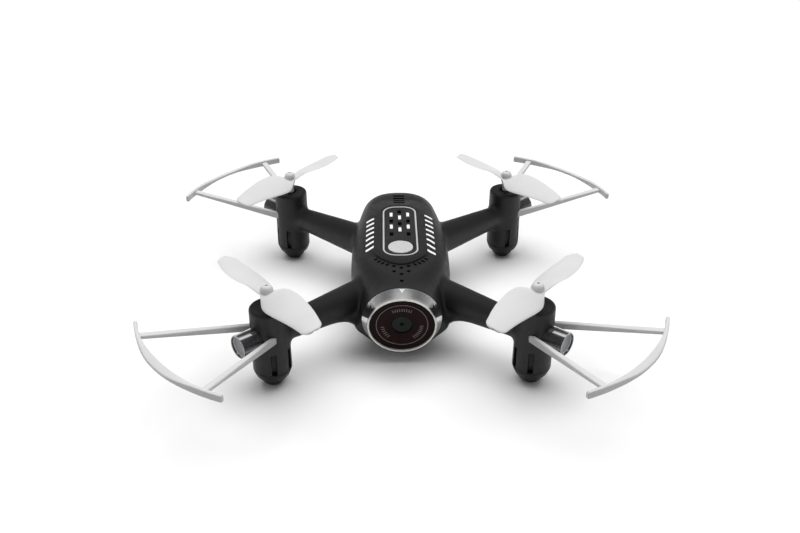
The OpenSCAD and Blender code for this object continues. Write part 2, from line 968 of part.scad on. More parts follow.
corner(1, 1) led_lens();  // led_lens_rear_right
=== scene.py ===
"""Looks of the mini palm drone, built round the CAD frame: moulded shells, propellers, guards and camera.

Lengths in the design code are millimetres; solid() turns them into metres. The nose faces -Y and +Z is up.
"""
import json
import math

import bpy
import numpy as np
from mathutils import Matrix, Vector


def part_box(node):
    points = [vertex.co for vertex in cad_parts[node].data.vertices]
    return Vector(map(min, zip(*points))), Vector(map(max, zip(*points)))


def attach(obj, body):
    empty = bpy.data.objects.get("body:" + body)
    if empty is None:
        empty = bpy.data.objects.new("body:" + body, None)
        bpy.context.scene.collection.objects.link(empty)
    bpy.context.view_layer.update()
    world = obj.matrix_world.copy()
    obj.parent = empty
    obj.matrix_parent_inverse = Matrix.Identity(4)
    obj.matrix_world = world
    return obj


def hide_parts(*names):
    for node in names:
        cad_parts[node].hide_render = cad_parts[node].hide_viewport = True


MM = 0.001
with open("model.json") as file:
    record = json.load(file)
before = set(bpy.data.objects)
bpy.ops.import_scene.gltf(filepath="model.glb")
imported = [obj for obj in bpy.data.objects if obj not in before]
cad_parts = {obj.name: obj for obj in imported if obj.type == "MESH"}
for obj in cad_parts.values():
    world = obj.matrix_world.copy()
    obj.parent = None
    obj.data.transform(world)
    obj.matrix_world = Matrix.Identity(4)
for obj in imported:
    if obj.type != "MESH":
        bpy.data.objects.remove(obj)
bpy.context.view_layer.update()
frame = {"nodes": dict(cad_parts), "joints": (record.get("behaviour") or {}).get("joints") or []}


def mm_box(node):
    """Lowest and highest corner of a CAD node, in mm."""
    lo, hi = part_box(node)
    return np.array(lo) / MM, np.array(hi) / MM


# ---------- places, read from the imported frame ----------
joint_at = {j["name"]: np.array(j.get("pos_m", (0, 0, 0))) / MM for j in frame["joints"]}
CORNERS = {"front_left": (-1, -1), "front_right": (1, -1), "rear_left": (-1, 1), "rear_right": (1, 1)}
PITCH = joint_at["propeller_spin_rear_right"][0]
PROP_Z = joint_at["propeller_spin_rear_right"][2]
DECK = mm_box("deck_panel")[1][2]
SEAM = mm_box("bottom_shell")[1][2]
BELLY = mm_box("bottom_shell")[0][2]
POD_TOP = 24.3
FOOT_TOP = 5.2
HALF_W = 14.6
HINGE_Y, HINGE_Z = joint_at["battery_door_hinge"][1:]
TILT = math.radians(8)
NOSE_OUT = np.array([0, -math.cos(TILT), -math.sin(TILT)])
NOSE_UP = np.array([0, -math.sin(TILT), math.cos(TILT)])
NOSE = (sum(mm_box("camera_window")) / 2 + 0.425 * NOSE_OUT) * (0, 1, 1)
NOSE_R = 11.35
NOSE_BACK = 2.6


# ---------- mesh building ----------
def placed(name, data):
    """A new object at the origin of the row frame."""
    obj = bpy.data.objects.new(name, data)
    bpy.context.scene.collection.objects.link(obj)
    return obj


def solid(name, verts, faces):
    """A new object from vertices in mm."""
    mesh = bpy.data.meshes.new(name)
    verts = np.asarray(verts, float) * MM
    mesh.from_pydata(verts.tolist(), [], [tuple(int(i) for i in f) for f in faces])
    mesh.validate()
    return placed(name, mesh)


def tube(rings, closed=False):
    """Vertices and faces of a stack of equal rings, capped at both ends unless it closes on itself."""
    rings = [np.asarray(r, float) for r in rings]
    n = len(rings[0])
    verts = np.concatenate(rings)
    faces = []
    count = len(rings)
    for i in range(count if closed else count - 1):
        a, b = i * n, ((i + 1) % count) * n
        for j in range(n):
            k = (j + 1) % n
            faces.append((a + j, a + k, b + k, b + j))
    if not closed:
        faces.append(tuple(range(n - 1, -1, -1)))
        faces.append(tuple(range((count - 1) * n, count * n)))
    return verts, faces


def lathe(profile, sides=64):
    """Vertices and faces of a closed (radius, height) profile turned about Z, with poles on the axis."""
    profile = np.array(profile, float)
    after = np.roll(profile, -1, axis=0)
    if (profile[:, 0] * after[:, 1] - after[:, 0] * profile[:, 1]).sum() < 0:
        profile = profile[::-1]
    angles = np.linspace(0, 2 * math.pi, sides, endpoint=False)
    verts, rows, faces = [], [], []
    for r, z in profile:
        if r < 1e-6:
            rows.append([len(verts)] * sides)
            verts.append((0, 0, z))
        else:
            rows.append(list(range(len(verts), len(verts) + sides)))
            verts += [(r * math.cos(a), r * math.sin(a), z) for a in angles]
    for i in range(len(rows)):
        a, b = rows[i], rows[(i + 1) % len(rows)]
        for j in range(sides):
            k = (j + 1) % sides
            face = [a[j], a[k], b[k], b[j]]
            face = [v for m, v in enumerate(face) if v != face[m - 1]]
            if len(face) > 2:
                faces.append(tuple(face))
    return np.array(verts, float), faces


def merge(*parts):
    """One vertex and face list from several."""
    verts, faces, start = [], [], 0
    for v, f in parts:
        verts.append(np.asarray(v, float))
        faces += [tuple(i + start for i in face) for face in f]
        start += len(v)
    return np.concatenate(verts), faces


def moved(part, matrix=None, offset=(0, 0, 0), mirror=False):
    """A part turned by a 3x3 matrix, then moved. A mirrored one has its faces turned over."""
    v, f = part
    v = np.asarray(v, float)
    if matrix is not None:
        v = v @ np.asarray(matrix, float).T
    v = v + np.asarray(offset, float)
    if mirror:
        f = [tuple(reversed(face)) for face in f]
    return v, f


def turn(axis, degrees):
    return np.array(Matrix.Rotation(math.radians(degrees), 3, axis))


def box_part(lo, hi):
    x0, y0, z0 = lo
    x1, y1, z1 = hi
    return tube([[(x0, y0, z), (x1, y0, z), (x1, y1, z), (x0, y1, z)] for z in (z0, z1)])


def level(outline, z):
    """The points of a flat outline at one height."""
    return np.column_stack([outline, np.full(len(outline), z)])


def rounded_rect(w, l, r, steps=8):
    """Corner points of a rounded rectangle, anticlockwise, in XY."""
    points = []
    for cx, cy, start in ((1, -1, -90), (1, 1, 0), (-1, 1, 90), (-1, -1, 180)):
        for i in range(steps + 1):
            a = math.radians(start + 90 * i / steps)
            points.append((cx * (w / 2 - r) + r * math.cos(a), cy * (l / 2 - r) + r * math.sin(a)))
    return np.array(points)


def slab(w, l, r, z0, z1, edge=0.0, at=(0, 0), steps=8, both=False):
    """A rounded plate with a rounded top edge, and a rounded bottom edge too if both."""
    levels = [(0, z0)]
    if both and edge:
        levels = [(edge, z0), (edge * 0.3, z0 + edge * 0.3), (0, z0 + edge)]
    levels += [(0, z1 - edge), (edge * 0.3, z1 - edge * 0.3), (edge, z1)] if edge else [(0, z1)]
    rings = []
    for inset, z in levels:
        outline = rounded_rect(w - 2 * inset, l - 2 * inset, max(r - inset, 0.02), steps)
        rings.append(level(outline + np.array(at), z))
    return tube(rings)


def to_corner(part, corner):
    """A part modelled about the rear right motor axis, placed in another corner."""
    sx, sy = CORNERS[corner]
    v, f = part
    v = (np.asarray(v, float) + (PITCH, PITCH, 0)) * (sx, sy, 1)
    return moved((v, f), mirror=sx * sy < 0)


GUARD_AXIS = math.radians(40.7)
OUTWARD = np.column_stack([(0, 0, -1), (-math.sin(GUARD_AXIS), math.cos(GUARD_AXIS), 0),
                           (math.cos(GUARD_AXIS), math.sin(GUARD_AXIS), 0)])
NOSE_TURN = np.column_stack([(1, 0, 0), NOSE_UP, NOSE_OUT])


def to_nose(part):
    """A part whose Z runs out of the camera window, placed on the nose."""
    return moved(part, NOSE_TURN, NOSE)


def outward(part, z):
    """A part whose Z runs out of the rear right pod between the guard's struts, at height z."""
    return moved(part, OUTWARD, (0, 0, z))


def evaluated(obj):
    """Applies an object's modifiers."""
    graph = bpy.context.evaluated_depsgraph_get()
    mesh = bpy.data.meshes.new_from_object(obj.evaluated_get(graph), depsgraph=graph)
    old = obj.data
    obj.modifiers.clear()
    obj.data = mesh
    bpy.data.meshes.remove(old)
    return obj


def remove(obj):
    mesh = obj.data
    bpy.data.objects.remove(obj)
    bpy.data.meshes.remove(mesh)


def boolean(target, tool, how="DIFFERENCE"):
    """Cuts a part, or another object, out of target, or joins or crosses the two. The tool is removed."""
    if isinstance(tool, tuple):
        tool = solid("tool", *tool)
    carve = target.modifiers.new("carve", "BOOLEAN")
    carve.operation, carve.solver, carve.object = how, "MANIFOLD", tool
    evaluated(target)
    remove(tool)
    return target


def smooth(obj, angle=32):
    """Smooth shading with sharp edges past an angle."""
    mesh = obj.data
    mesh.polygons.foreach_set("use_smooth", np.ones(len(mesh.polygons), bool))
    mesh.set_sharp_from_angle(angle=math.radians(angle))
    return obj


def piece(obj, body, slot, node=None, look=None, angle=32):
    """Finishes a piece: shading, look, the body it rides on and the CAD node it stands for."""
    if angle:
        smooth(obj, angle)
    obj.data.materials.clear()
    obj.data.materials.append(looks[look or slot])
    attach(obj, body)
    if node:
        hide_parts(node)


# ---------- distance to the moulded airframe ----------
def smooth_table(xs, values, spread, step=0.05):
    """A table of values, sampled finely and smoothed, as two arrays for np.interp."""
    fine = np.arange(xs[0], xs[-1] + step / 2, step)
    v = np.interp(fine, xs, values)
    reach = int(3 * spread / step)
    kernel = np.exp(-0.5 * (np.arange(-reach, reach + 1) * step / spread) ** 2)
    padded = np.pad(v, reach, mode="reflect", reflect_type="odd")
    return fine, np.convolve(padded, kernel / kernel.sum(), "valid")


# Body levels from the belly up: height, share of the half width, rear end.
LEVELS = np.array([
    (1.6, 0.20, 20.0), (2.6, 0.36, 24.0), (3.6, 0.52, 27.7), (5, 0.68, 32.3), (8.5, 0.87, 36.6),
    (12, 0.97, 37.7), (16, 1.0, 38.0), (19, 0.992, 37.6), (21.5, 0.955, 36.7), (23.3, 0.90, 35.2),
    (24.4, 0.825, 33.5), (25.3, 0.74, 31.2), (26, 0.65, 28.6), (27, 0.45, 24.0), (28, 0.25, 19.0),
])
SHARE = smooth_table(LEVELS[:, 0], LEVELS[:, 1], 0.5)
REAR = smooth_table(LEVELS[:, 0], LEVELS[:, 2], 0.6)
FRONT_LEN = 39.8
TAIL_NARROW = 0.12


def ease(t):
    t = np.clip(t, 0, 1)
    return t * t * (3 - 2 * t)


def smooth_max(a, b, k):
    h = np.maximum(k - np.abs(a - b), 0) / k
    return np.maximum(a, b) + h * h * k / 4


def smooth_min(a, b, k):
    return -smooth_max(-a, -b, k)


def side_form(x, y, z):
    """Below zero inside the body's walls: a superellipse at the tail, the camera's circle at the nose."""
    half = HALF_W * np.interp(z, *SHARE)
    rear = np.interp(z, *REAR)
    narrow = half * (1 - TAIL_NARROW * ease((y - 4) / 22) * ease((z - 12) / 9))
    tail = ((np.abs(x) / narrow) ** 2.4 + (np.maximum(y, 0) / rear) ** 5.4 - 1) * half * half / 1.2
    taper = 1 - np.clip(-y / FRONT_LEN, 0, 0.98) ** 2.6
    t = ease((-y - 8.5) / 18.5)
    cheek = 1.5 * ease((NOSE[2] + 0.5 - z) / 3) * ease((z - 5.5) / 5.5)
    reach = (1 - t) * half * half * taper + t * ((NOSE_R + cheek) ** 2 - (z - NOSE[2]) ** 2)
    return np.where(y > 0, tail, x * x - reach)


def normalised(raw, x, y, z, e=0.06):
    """raw divided by the length of its slope, which is close to a distance near its zero level."""
    gx = raw(x + e, y, z) - raw(x - e, y, z)
    gy = raw(x, y + e, z) - raw(x, y - e, z)
    gz = raw(x, y, z + e) - raw(x, y, z - e)
    return raw(x, y, z) * 2 * e / np.sqrt(gx * gx + gy * gy + gz * gz + 1e-9)


# Plateau of the deck, right half: a shield from the panel's tail end to the bezel.
SHIELD = np.array([(0, 21.3), (3.2, 20.9), (5.3, 18.6), (8.0, 13.0), (8.55, 5), (8.75, -10.4),
                   (8.25, -16.4), (6.9, -22.3), (5.0, -26.0), (3.0, -29.5), (0, -31)])
LIP_Y, LIP_BEND = -15.3, 0.098
DECK_STEP = 0.25


def outline_distance(x, y, points):
    """Signed distance to a closed half outline, above zero outside it; x is at or above zero."""
    best = np.full(x.shape, 1e9)
    inside = np.zeros(x.shape, bool)
    ring = np.vstack([points, points[:1]])
    for (ax, ay), (bx, by) in zip(ring[:-1], ring[1:]):
        crosses = (ay > y) != (by > y)
        with np.errstate(divide="ignore", invalid="ignore"):
            inside ^= crosses & (x < (bx - ax) * (y - ay) / (by - ay) + ax)
        if ax == 0 and bx == 0:
            continue
        t = np.clip(((x - ax) * (bx - ax) + (y - ay) * (by - ay)) / ((bx - ax) ** 2 + (by - ay) ** 2), 0, 1)
        best = np.minimum(best, np.hypot(x - ax - t * (bx - ax), y - ay - t * (by - ay)))
    return np.where(inside, -best, best)


def deck_table():
    """Height of the deck over half the body, as (xs, ys, heights)."""
    xs = np.arange(0, 20, DECK_STEP)
    ys = np.arange(-36, 44, DECK_STEP)
    x, y = np.meshgrid(xs, ys, indexing="ij")
    d = outline_distance(x, y, SHIELD)
    for _ in range(2):
        d[1:-1, 1:-1] = (d[:-2, 1:-1] + d[2:, 1:-1] + d[1:-1, :-2] + d[1:-1, 2:]) / 4
        d[0, 1:-1] = (2 * d[1, 1:-1] + d[0, :-2] + d[0, 2:]) / 4
    slope = 0.16 * np.log1p(np.exp(np.clip(d / 0.16, -30, 30)))
    height = DECK - 0.15 * slope
    ahead = (LIP_Y + LIP_BEND * x * x - y) / np.sqrt(1 + (2 * LIP_BEND * x) ** 2)
    fade = 1 - ease((x - 6.6) / 2.6)
    crown = 0.28 * np.clip((ahead + 2.4) / 2.4, 0, 1) ** 2
    drop = crown + 0.42 * ease((ahead + 0.05) / 0.45)
    height -= fade * drop + (1 - fade) * 0.70 * ease((ahead + 4.5) / 6.5)
    height -= 0.25 * ease((-y - 18) / 9)
    height += 0.07 * np.exp(-(d / 0.34) ** 2) * ease((-y - 11.5) / 2) * ease((y + 28) / 3)
    return xs, ys, height


DECK_XS, DECK_YS, DECK_HEIGHTS = deck_table()


def deck_height(x, y):
    """Height of the deck surface, from the table."""
    i = np.clip(np.abs(x) / DECK_STEP, 0, len(DECK_XS) - 1.001)
    j = np.clip((y - DECK_YS[0]) / DECK_STEP, 0, len(DECK_YS) - 1.001)
    a, b = i.astype(int), j.astype(int)
    u, v = i - a, j - b
    h = DECK_HEIGHTS
    return ((1 - u) * (1 - v) * h[a, b] + u * (1 - v) * h[a + 1, b]
            + (1 - u) * v * h[a, b + 1] + u * v * h[a + 1, b + 1])


def body_distance(x, y, z):
    d = normalised(side_form, x, y, z)
    d = smooth_max(d, z - deck_height(x, y), 0.7)
    d = smooth_max(d, BELLY - z, 2.0)
    face = (y - NOSE[1]) * NOSE_OUT[1] + (z - NOSE[2]) * NOSE_OUT[2]
    return smooth_max(d, face + NOSE_BACK, 0.5)


ARM_ANGLE = math.atan(0.8)
ARM_AXIS = np.array([-math.cos(ARM_ANGLE), -math.sin(ARM_ANGLE)])
ARM_TURN = turn("Z", 180 + math.degrees(ARM_ANGLE))
ARM_Z = 15.6


def arm_distance(x, y, z):
    """Distance to the tapered oval arm, from the rear right motor axis to the body."""
    along = x * ARM_AXIS[0] + y * ARM_AXIS[1]
    across = x * ARM_AXIS[1] - y * ARM_AXIS[0]
    t = np.clip(along / 32, 0, 1.2)
    a, b = 3.0 + 1.4 * t, 3.3 + 2.1 * t
    w = z - ARM_Z
    k0 = np.sqrt((across / a) ** 2 + (w / b) ** 2) + 1e-9
    k1 = np.sqrt((across / (a * a)) ** 2 + (w / (b * b)) ** 2) + 1e-9
    return smooth_max(k0 * (k0 - 1) / k1, -along, 0.5)


def pod_distance(x, y, z):
    r = np.hypot(x, y)
    side = r - (5.3 - 0.15 * np.clip((z - FOOT_TOP) / (POD_TOP - FOOT_TOP), 0, 1))
    return np.maximum(smooth_max(side, z - POD_TOP, 0.95), FOOT_TOP - z)


def airframe_distance(points):
    """Distance from points to the outside of the airframe: body, arms and pods, run together with fillets."""
    x, y, z = np.abs(points[:, 0]), points[:, 1], points[:, 2]
    body = body_distance(x, y, z)
    fillet = 1.5 + 5.0 * ease((15.5 - z) / 4) * (y < 0)
    y = np.abs(y)
    arm = arm_distance(x - PITCH, y - PITCH, z)
    pod = pod_distance(x - PITCH, y - PITCH, z)
    return smooth_min(smooth_min(body, arm, fillet), pod, 1.7)


def cavity_distance(points):
    """Distance to the room inside the body."""
    return body_distance(np.abs(points[:, 0]), points[:, 1], points[:, 2]) + 1.35


def slope_of(distance, points, e=0.05):
    g = np.empty_like(points)
    for i in range(3):
        step = np.zeros(3)
        step[i] = e
        g[:, i] = (distance(points + step) - distance(points - step)) / (2 * e)
    return g


def surface_net(values, origin, step):
    """Vertices and quads on the zero level of a grid of values, one vertex in each cell that it crosses."""
    inside = values < 0
    cells_shape = np.array(values.shape) - 1
    corners = [(i, j, k) for i in (0, 1) for j in (0, 1) for k in (0, 1)]
    count = np.zeros(cells_shape, np.int8)
    for i, j, k in corners:
        count += inside[i:i + cells_shape[0], j:j + cells_shape[1], k:k + cells_shape[2]]
    cells = np.argwhere((count > 0) & (count < 8))
    number = np.full(cells_shape, -1)
    number[tuple(cells.T)] = np.arange(len(cells))
    total, hits = np.zeros((len(cells), 3)), np.zeros(len(cells))
    for a in corners:
        for axis in range(3):
            if a[axis]:
                continue
            b = list(a)
            b[axis] = 1
            fa, fb = values[tuple((cells + a).T)], values[tuple((cells + b).T)]
            cross = (fa < 0) != (fb < 0)
            point = np.tile(np.array(a, float), (cross.sum(), 1))
            point[:, axis] += fa[cross] / (fa[cross] - fb[cross])
            total[cross] += point
            hits[cross] += 1
    verts = origin + step * (cells + total / hits[:, None])
    quads = []
    for axis in range(3):
        lo = [slice(1, n - 1) for n in values.shape]
        lo[axis] = slice(0, values.shape[axis] - 1)
        hi = list(lo)
        hi[axis] = slice(1, values.shape[axis])
        at = np.argwhere(inside[tuple(lo)] != inside[tuple(hi)])
        outward_face = inside[tuple(lo)][tuple(at.T)]
        at = at + 1
        at[:, axis] -= 1
        u, v = np.zeros(3, int), np.zeros(3, int)
        u[(axis + 1) % 3] = 1
        v[(axis + 2) % 3] = 1
        ring = np.stack([number[tuple((at - o).T)] for o in (u * 0, u, u + v, v)], 1)
        ring[~outward_face] = ring[~outward_face][:, ::-1]
        quads.append(ring)
    return verts, np.concatenate(quads)


def net_solid(name, distance, lo, hi, step):
    """An object on the zero level of a distance, with its vertices settled on the surface."""
    axes = [np.arange(a, b + step, step) for a, b in zip(lo, hi)]
    y, z = np.meshgrid(axes[1], axes[2], indexing="ij")
    values = np.empty([len(a) for a in axes])
    for i, x in enumerate(axes[0]):
        points = np.column_stack([np.full(y.size, x), y.ravel(), z.ravel()])
        values[i] = distance(points).reshape(y.shape)
    verts, quads = surface_net(values, np.array([a[0] for a in axes]), step)
    for _ in range(2):
        g = slope_of(distance, verts)
        push = distance(verts) / np.maximum((g * g).sum(1), 0.2)
        verts -= g * np.clip(push, -step / 2, step / 2)[:, None]
    triangles = np.concatenate([quads[:, [0, 1, 2]], quads[:, [0, 2, 3]]])
    mesh = bpy.data.meshes.new(name)
    mesh.vertices.add(len(verts))
    mesh.vertices.foreach_set("co", (verts * MM).astype(np.float32).ravel())
    mesh.loops.add(triangles.size)
    mesh.loops.foreach_set("vertex_index", triangles.astype(np.int32).ravel())
    mesh.polygons.add(len(triangles))
    mesh.polygons.foreach_set("loop_start", np.arange(0, triangles.size, 3, dtype=np.int32))
    mesh.update(calc_edges=True)
    mesh.validate()
    return placed(name, mesh)


def read(items, attribute, width=1):
    """One attribute of every item, as an array: whole numbers, or rows of width numbers."""
    values = np.empty(len(items) * width, np.int32 if width == 1 else np.float32)
    items.foreach_get(attribute, values)
    return values if width == 1 else values.reshape(-1, width).astype(float)


def moulded_normals(obj, distance):
    """Takes normals on the moulded surface from the distance's slope, and leaves cut faces with their own."""
    smooth(obj, 30)
    mesh = obj.data
    normals = read(mesh.corner_normals, "vector", 3)
    co = read(mesh.vertices, "co", 3) / MM
    g = slope_of(distance, co)
    g /= np.linalg.norm(g, axis=1)[:, None] + 1e-9
    on_surface = np.abs(distance(co)) < 0.03
    vert = read(mesh.loops, "vertex_index")
    face_normals = np.repeat(read(mesh.polygons, "normal", 3), read(mesh.polygons, "loop_total"), axis=0)
    agree = (face_normals * g[vert]).sum(1) > math.cos(math.radians(38))
    use = agree & on_surface[vert]
    normals[use] = g[vert][use]
    mesh.normals_split_custom_set(normals.astype(np.float32).tolist())


# ---------- materials ----------
class Nodes:
    """Short calls that add nodes to a material's or a world's tree."""

    def __init__(self, owner):
        owner.use_nodes = True
        self.nodes, self.links = owner.node_tree.nodes, owner.node_tree.links

    def node(self, kind, values=None, **settings):
        made = self.nodes.new("ShaderNode" + kind)
        for key, value in settings.items():
            setattr(made, key, value)
        for key, value in (values or {}).items():
            if isinstance(value, bpy.types.NodeSocket):
                self.links.new(value, made.inputs[key])
            else:
                made.inputs[key].default_value = value
        return made

    def math(self, operation, a, b=0.0):
        return self.node("Math", {0: a, 1: b}, operation=operation).outputs[0]

    def times(self, a, b):
        return self.math("MULTIPLY", a, b)

    def spread(self, value, low, high, start=0.3, end=0.7):
        """Turns a value's range from start to end into low to high."""
        ends = {"From Min": start, "From Max": end, "To Min": low, "To Max": high}
        return self.node("MapRange", {"Value": value, **ends}).outputs["Result"]

    def blend(self, amount, a, b):
        made = self.node("Mix", {"Factor": amount}, data_type="RGBA")
        for socket, value in ((made.inputs[6], a), (made.inputs[7], b)):
            if isinstance(value, bpy.types.NodeSocket):
                self.links.new(value, socket)
            else:
                socket.default_value = (*value, 1)
        return made.outputs[2]


class Look(Nodes):
    """A node material round one Principled shader, with patterns in object space."""

    def __init__(self, name, colour, rough=0.4, **inputs):
        self.material = bpy.data.materials.new(name)
        super().__init__(self.material)
        self.shader = self.nodes["Principled BSDF"]
        self.place = self.node("TexCoord").outputs["Object"]
        self.colour = colour
        self.shader.inputs["Roughness"].default_value = rough
        for key, value in inputs.items():
            self.shader.inputs[key.replace("_", " ")].default_value = value

    def noise(self, size, detail=3.0, place=None):
        """Noise with patches about size mm across."""
        values = {"Vector": place or self.place, "Scale": 1 / (size * MM), "Detail": detail}
        return self.node("TexNoise", values).outputs["Fac"]

    def wave(self, scale, direction, distortion=0.0):
        values = {"Vector": self.place, "Scale": scale, "Distortion": distortion}
        return self.node("TexWave", values, bands_direction=direction).outputs["Fac"]

    def away(self, centre):
        """Distance from a centre in mm."""
        values = {0: self.place, 1: tuple(np.array(centre) * MM)}
        return self.node("VectorMath", values, operation="DISTANCE").outputs["Value"]

    def axis(self, name, vector=None):
        return self.node("SeparateXYZ", {0: vector or self.place}).outputs[name]

    def tone(self, amount, by=0.15):
        """The base colour, darker and lighter with a 0 to 1 amount."""
        dark = tuple(c * (1 - by) for c in self.colour)
        light = tuple(min(c * (1 + by), 1) for c in self.colour)
        return self.blend(amount, dark, light)

    def finish(self, colour, height, depth, rough=None):
        """Joins the patterns to the shader. depth is the bump's height in mm."""
        bump = self.node("Bump", {"Height": height, "Strength": 1.0, "Distance": depth * MM})
        self.links.new(colour, self.shader.inputs["Base Color"])
        self.links.new(bump.outputs[0], self.shader.inputs["Normal"])
        if rough is not None:
            self.links.new(rough, self.shader.inputs["Roughness"])
        return self.material


def plastic(name, colour, rough=0.4, grain=0.35, depth=0.006, vary=0.12, wear=0.06, **inputs):
    """Moulded plastic: fine grain, cloudy tone and uneven gloss."""
    look = Look(name, colour, rough, **inputs)
    gloss = look.spread(look.noise(1.6, 4), rough - wear, rough + wear)
    return look.finish(look.tone(look.spread(look.noise(7), 0, 1), vary), look.noise(grain, 2), depth, gloss)


def brushed(name, colour, rough, factors, size, depth=0.004, vary=0.12, speckle=0.0, metal=1.0):
    """Metal with fine lines along the axis whose factor is small."""
    look = Look(name, colour, rough, Metallic=metal)
    drawn = look.node("VectorMath", {0: look.place, 1: factors}, operation="MULTIPLY").outputs[0]
    lines = look.noise(size, 3, drawn)
    if speckle:
        lines = look.math("ADD", look.times(lines, 1 - speckle), look.times(look.noise(0.35, 4), speckle))
    tone = look.tone(look.spread(lines, 0, 1), vary)
    return look.finish(tone, lines, depth, look.spread(lines, rough * 0.75, rough * 1.3))


def chrome_material():
    """Turned chrome: thin circular lines about the camera's axis, and soft bright and dark sectors of painted
    reflection; the rim and the lower part carry a painted bright reflection.
    """
    look = Look("bezel_chrome", (0.80, 0.80, 0.81), 0.24, Metallic=1.0)
    radial = look.away(NOSE)
    lines = look.noise(0.16, 3, look.node("CombineXYZ", {"X": radial}).outputs[0])
    mix = look.math("ADD", look.times(lines, 0.55), look.times(look.noise(1.1, 5), 0.45))
    # Painted reflection: dark bands in the chrome on both sides of the top, darkest 4.6 mm out from the
    # middle, on the sloping face outside 9.7 mm.
    beside = look.math("SUBTRACT", look.math("ABSOLUTE", look.axis("X")), 4.6 * MM)
    painted_dark_band = look.spread(look.math("ABSOLUTE", beside), 0.5, 0, 0, 3.4 * MM)
    dark = look.times(painted_dark_band, look.spread(radial, 0, 1, 9.7 * MM, 10.0 * MM))
    base = look.blend(dark, (0.84, 0.84, 0.85), (0.20, 0.20, 0.20))
    base = look.blend(look.spread(mix, 0.3, 0), base, (0.3, 0.3, 0.3))
    # Painted reflection: the rim and the lower part of the bezel become a paler, less metallic satin that
    # stands for the bright floor mirrored there.
    rim = look.spread(radial, 1, 0, 9.55 * MM, 9.61 * MM)
    low = look.spread(look.axis("Z"), 1, 0, (NOSE[2] + 1.5) * MM, (NOSE[2] + 3.5) * MM)
    painted_bright_reflection = look.math("MAXIMUM", rim, low)
    base = look.blend(painted_bright_reflection, base, (0.90, 0.89, 0.86))
    look.links.new(look.math("SUBTRACT", 1, look.times(painted_bright_reflection, 0.6)), look.shader.inputs["Metallic"])
    return look.finish(base, lines, 0.0025, look.spread(mix, 0.15, 0.30))


def window_material():
    """Glossy dark window: black-brown edge, maroon inside the ring, darker again towards the lens."""
    look = Look("window_maroon", (0.02, 0.005, 0.004), 0.12, Specular_IOR_Level=0.06)
    radial = look.away(NOSE)
    inner = look.spread(radial, 1, 0, 7.2 * MM, 7.5 * MM)
    middle = look.spread(radial, 0, 1, 2.9 * MM, 5.2 * MM)
    base = look.blend(inner, (0.0095, 0.0040, 0.0035), (0.021, 0.0052, 0.0045))
    base = look.blend(middle, (0.011, 0.0035, 0.003), base)
    cloud = look.noise(0.9, 4)
    base = look.blend(look.spread(cloud, 0, 0.35), base, (0.013, 0.005, 0.0045))
    return look.finish(base, look.noise(2.2, 2), 0.004, look.spread(cloud, 0.09, 0.2))


def board_material():
    """Solder mask over faint copper tracks."""
    look = Look("board_green", (0.012, 0.11, 0.045), 0.35, Coat_Weight=0.3)
    bricks = {"Vector": look.place, "Scale": 420.0, "Mortar Size": 0.035}
    tracks = look.node("TexBrick", bricks).outputs["Fac"]
    colour = look.blend(tracks, (0.010, 0.10, 0.04), (0.03, 0.20, 0.08))
    return look.finish(colour, tracks, 0.03, look.spread(look.noise(0.8), 0.28, 0.45))


def striped(name, colour, rough, scale, direction, distortion, depth, **inputs):
    """Fine bands across one axis: wound wire, or a flat cable with a stripe for each conductor."""
    look = Look(name, colour, rough, **inputs)
    wave = look.wave(scale, direction, distortion)
    return look.finish(look.tone(wave, 0.3), wave, depth)


def foil_material():
    """Battery pouch: silver foil with soft creases."""
    look = Look("battery_foil", (0.55, 0.56, 0.58), 0.32, Metallic=0.85)
    creases = look.node("TexVoronoi", {"Vector": look.place, "Scale": 260.0}, feature="DISTANCE_TO_EDGE")
    soft = look.spread(creases.outputs["Distance"], 0, 1, 0.0, 0.3)
    return look.finish(look.tone(look.noise(2.5)), soft, 0.12, look.spread(look.noise(1.2), 0.25, 0.45))


def clear_material():
    """Clear moulded plastic with faint flow lines, painted dark for the pod seen through it, with painted
    highlight streaks on faces that look up.
    """
    look = Look("clear_plastic", (0.10, 0.10, 0.105), 0.05, Transmission_Weight=0.55, IOR=1.5)
    flow = look.noise(1.4, 2)
    # Painted highlights: a bright metallic streak on faces that look up, and a fainter one on faces that look
    # a little below level.
    up = look.axis("Z", look.node("NewGeometry").outputs["Normal"])
    painted_highlight = look.times(look.spread(up, 0, 1, 0.86, 0.90), look.spread(up, 1, 0, 0.955, 0.985))
    low = look.times(look.spread(up, 0, 1, -0.15, -0.1), look.spread(up, 1, 0, 0.0, 0.06))
    painted_highlight = look.math("ADD", painted_highlight, look.times(low, 0.3))
    look.links.new(painted_highlight, look.shader.inputs["Metallic"])
    # Painted shade: the dark base colour stands for the dark pod seen through the clear plastic.
    colour = look.blend(painted_highlight, (0.06, 0.06, 0.065), (0.95, 0.95, 0.95))
    return look.finish(colour, flow, 0.02, look.spread(flow, 0.04, 0.12))


def frosted_material():
    """Diffusing face of a light: fine vertical prisms."""
    look = Look("frosted", (0.50, 0.51, 0.53), 0.5, Transmission_Weight=0.25, IOR=1.45)
    mix = look.math("ADD", look.times(look.wave(560.0, "Z", 0.3), 0.6), look.times(look.noise(0.4), 0.4))
    return look.finish(look.tone(look.spread(mix, 0, 1), 0.22), mix, 0.05)


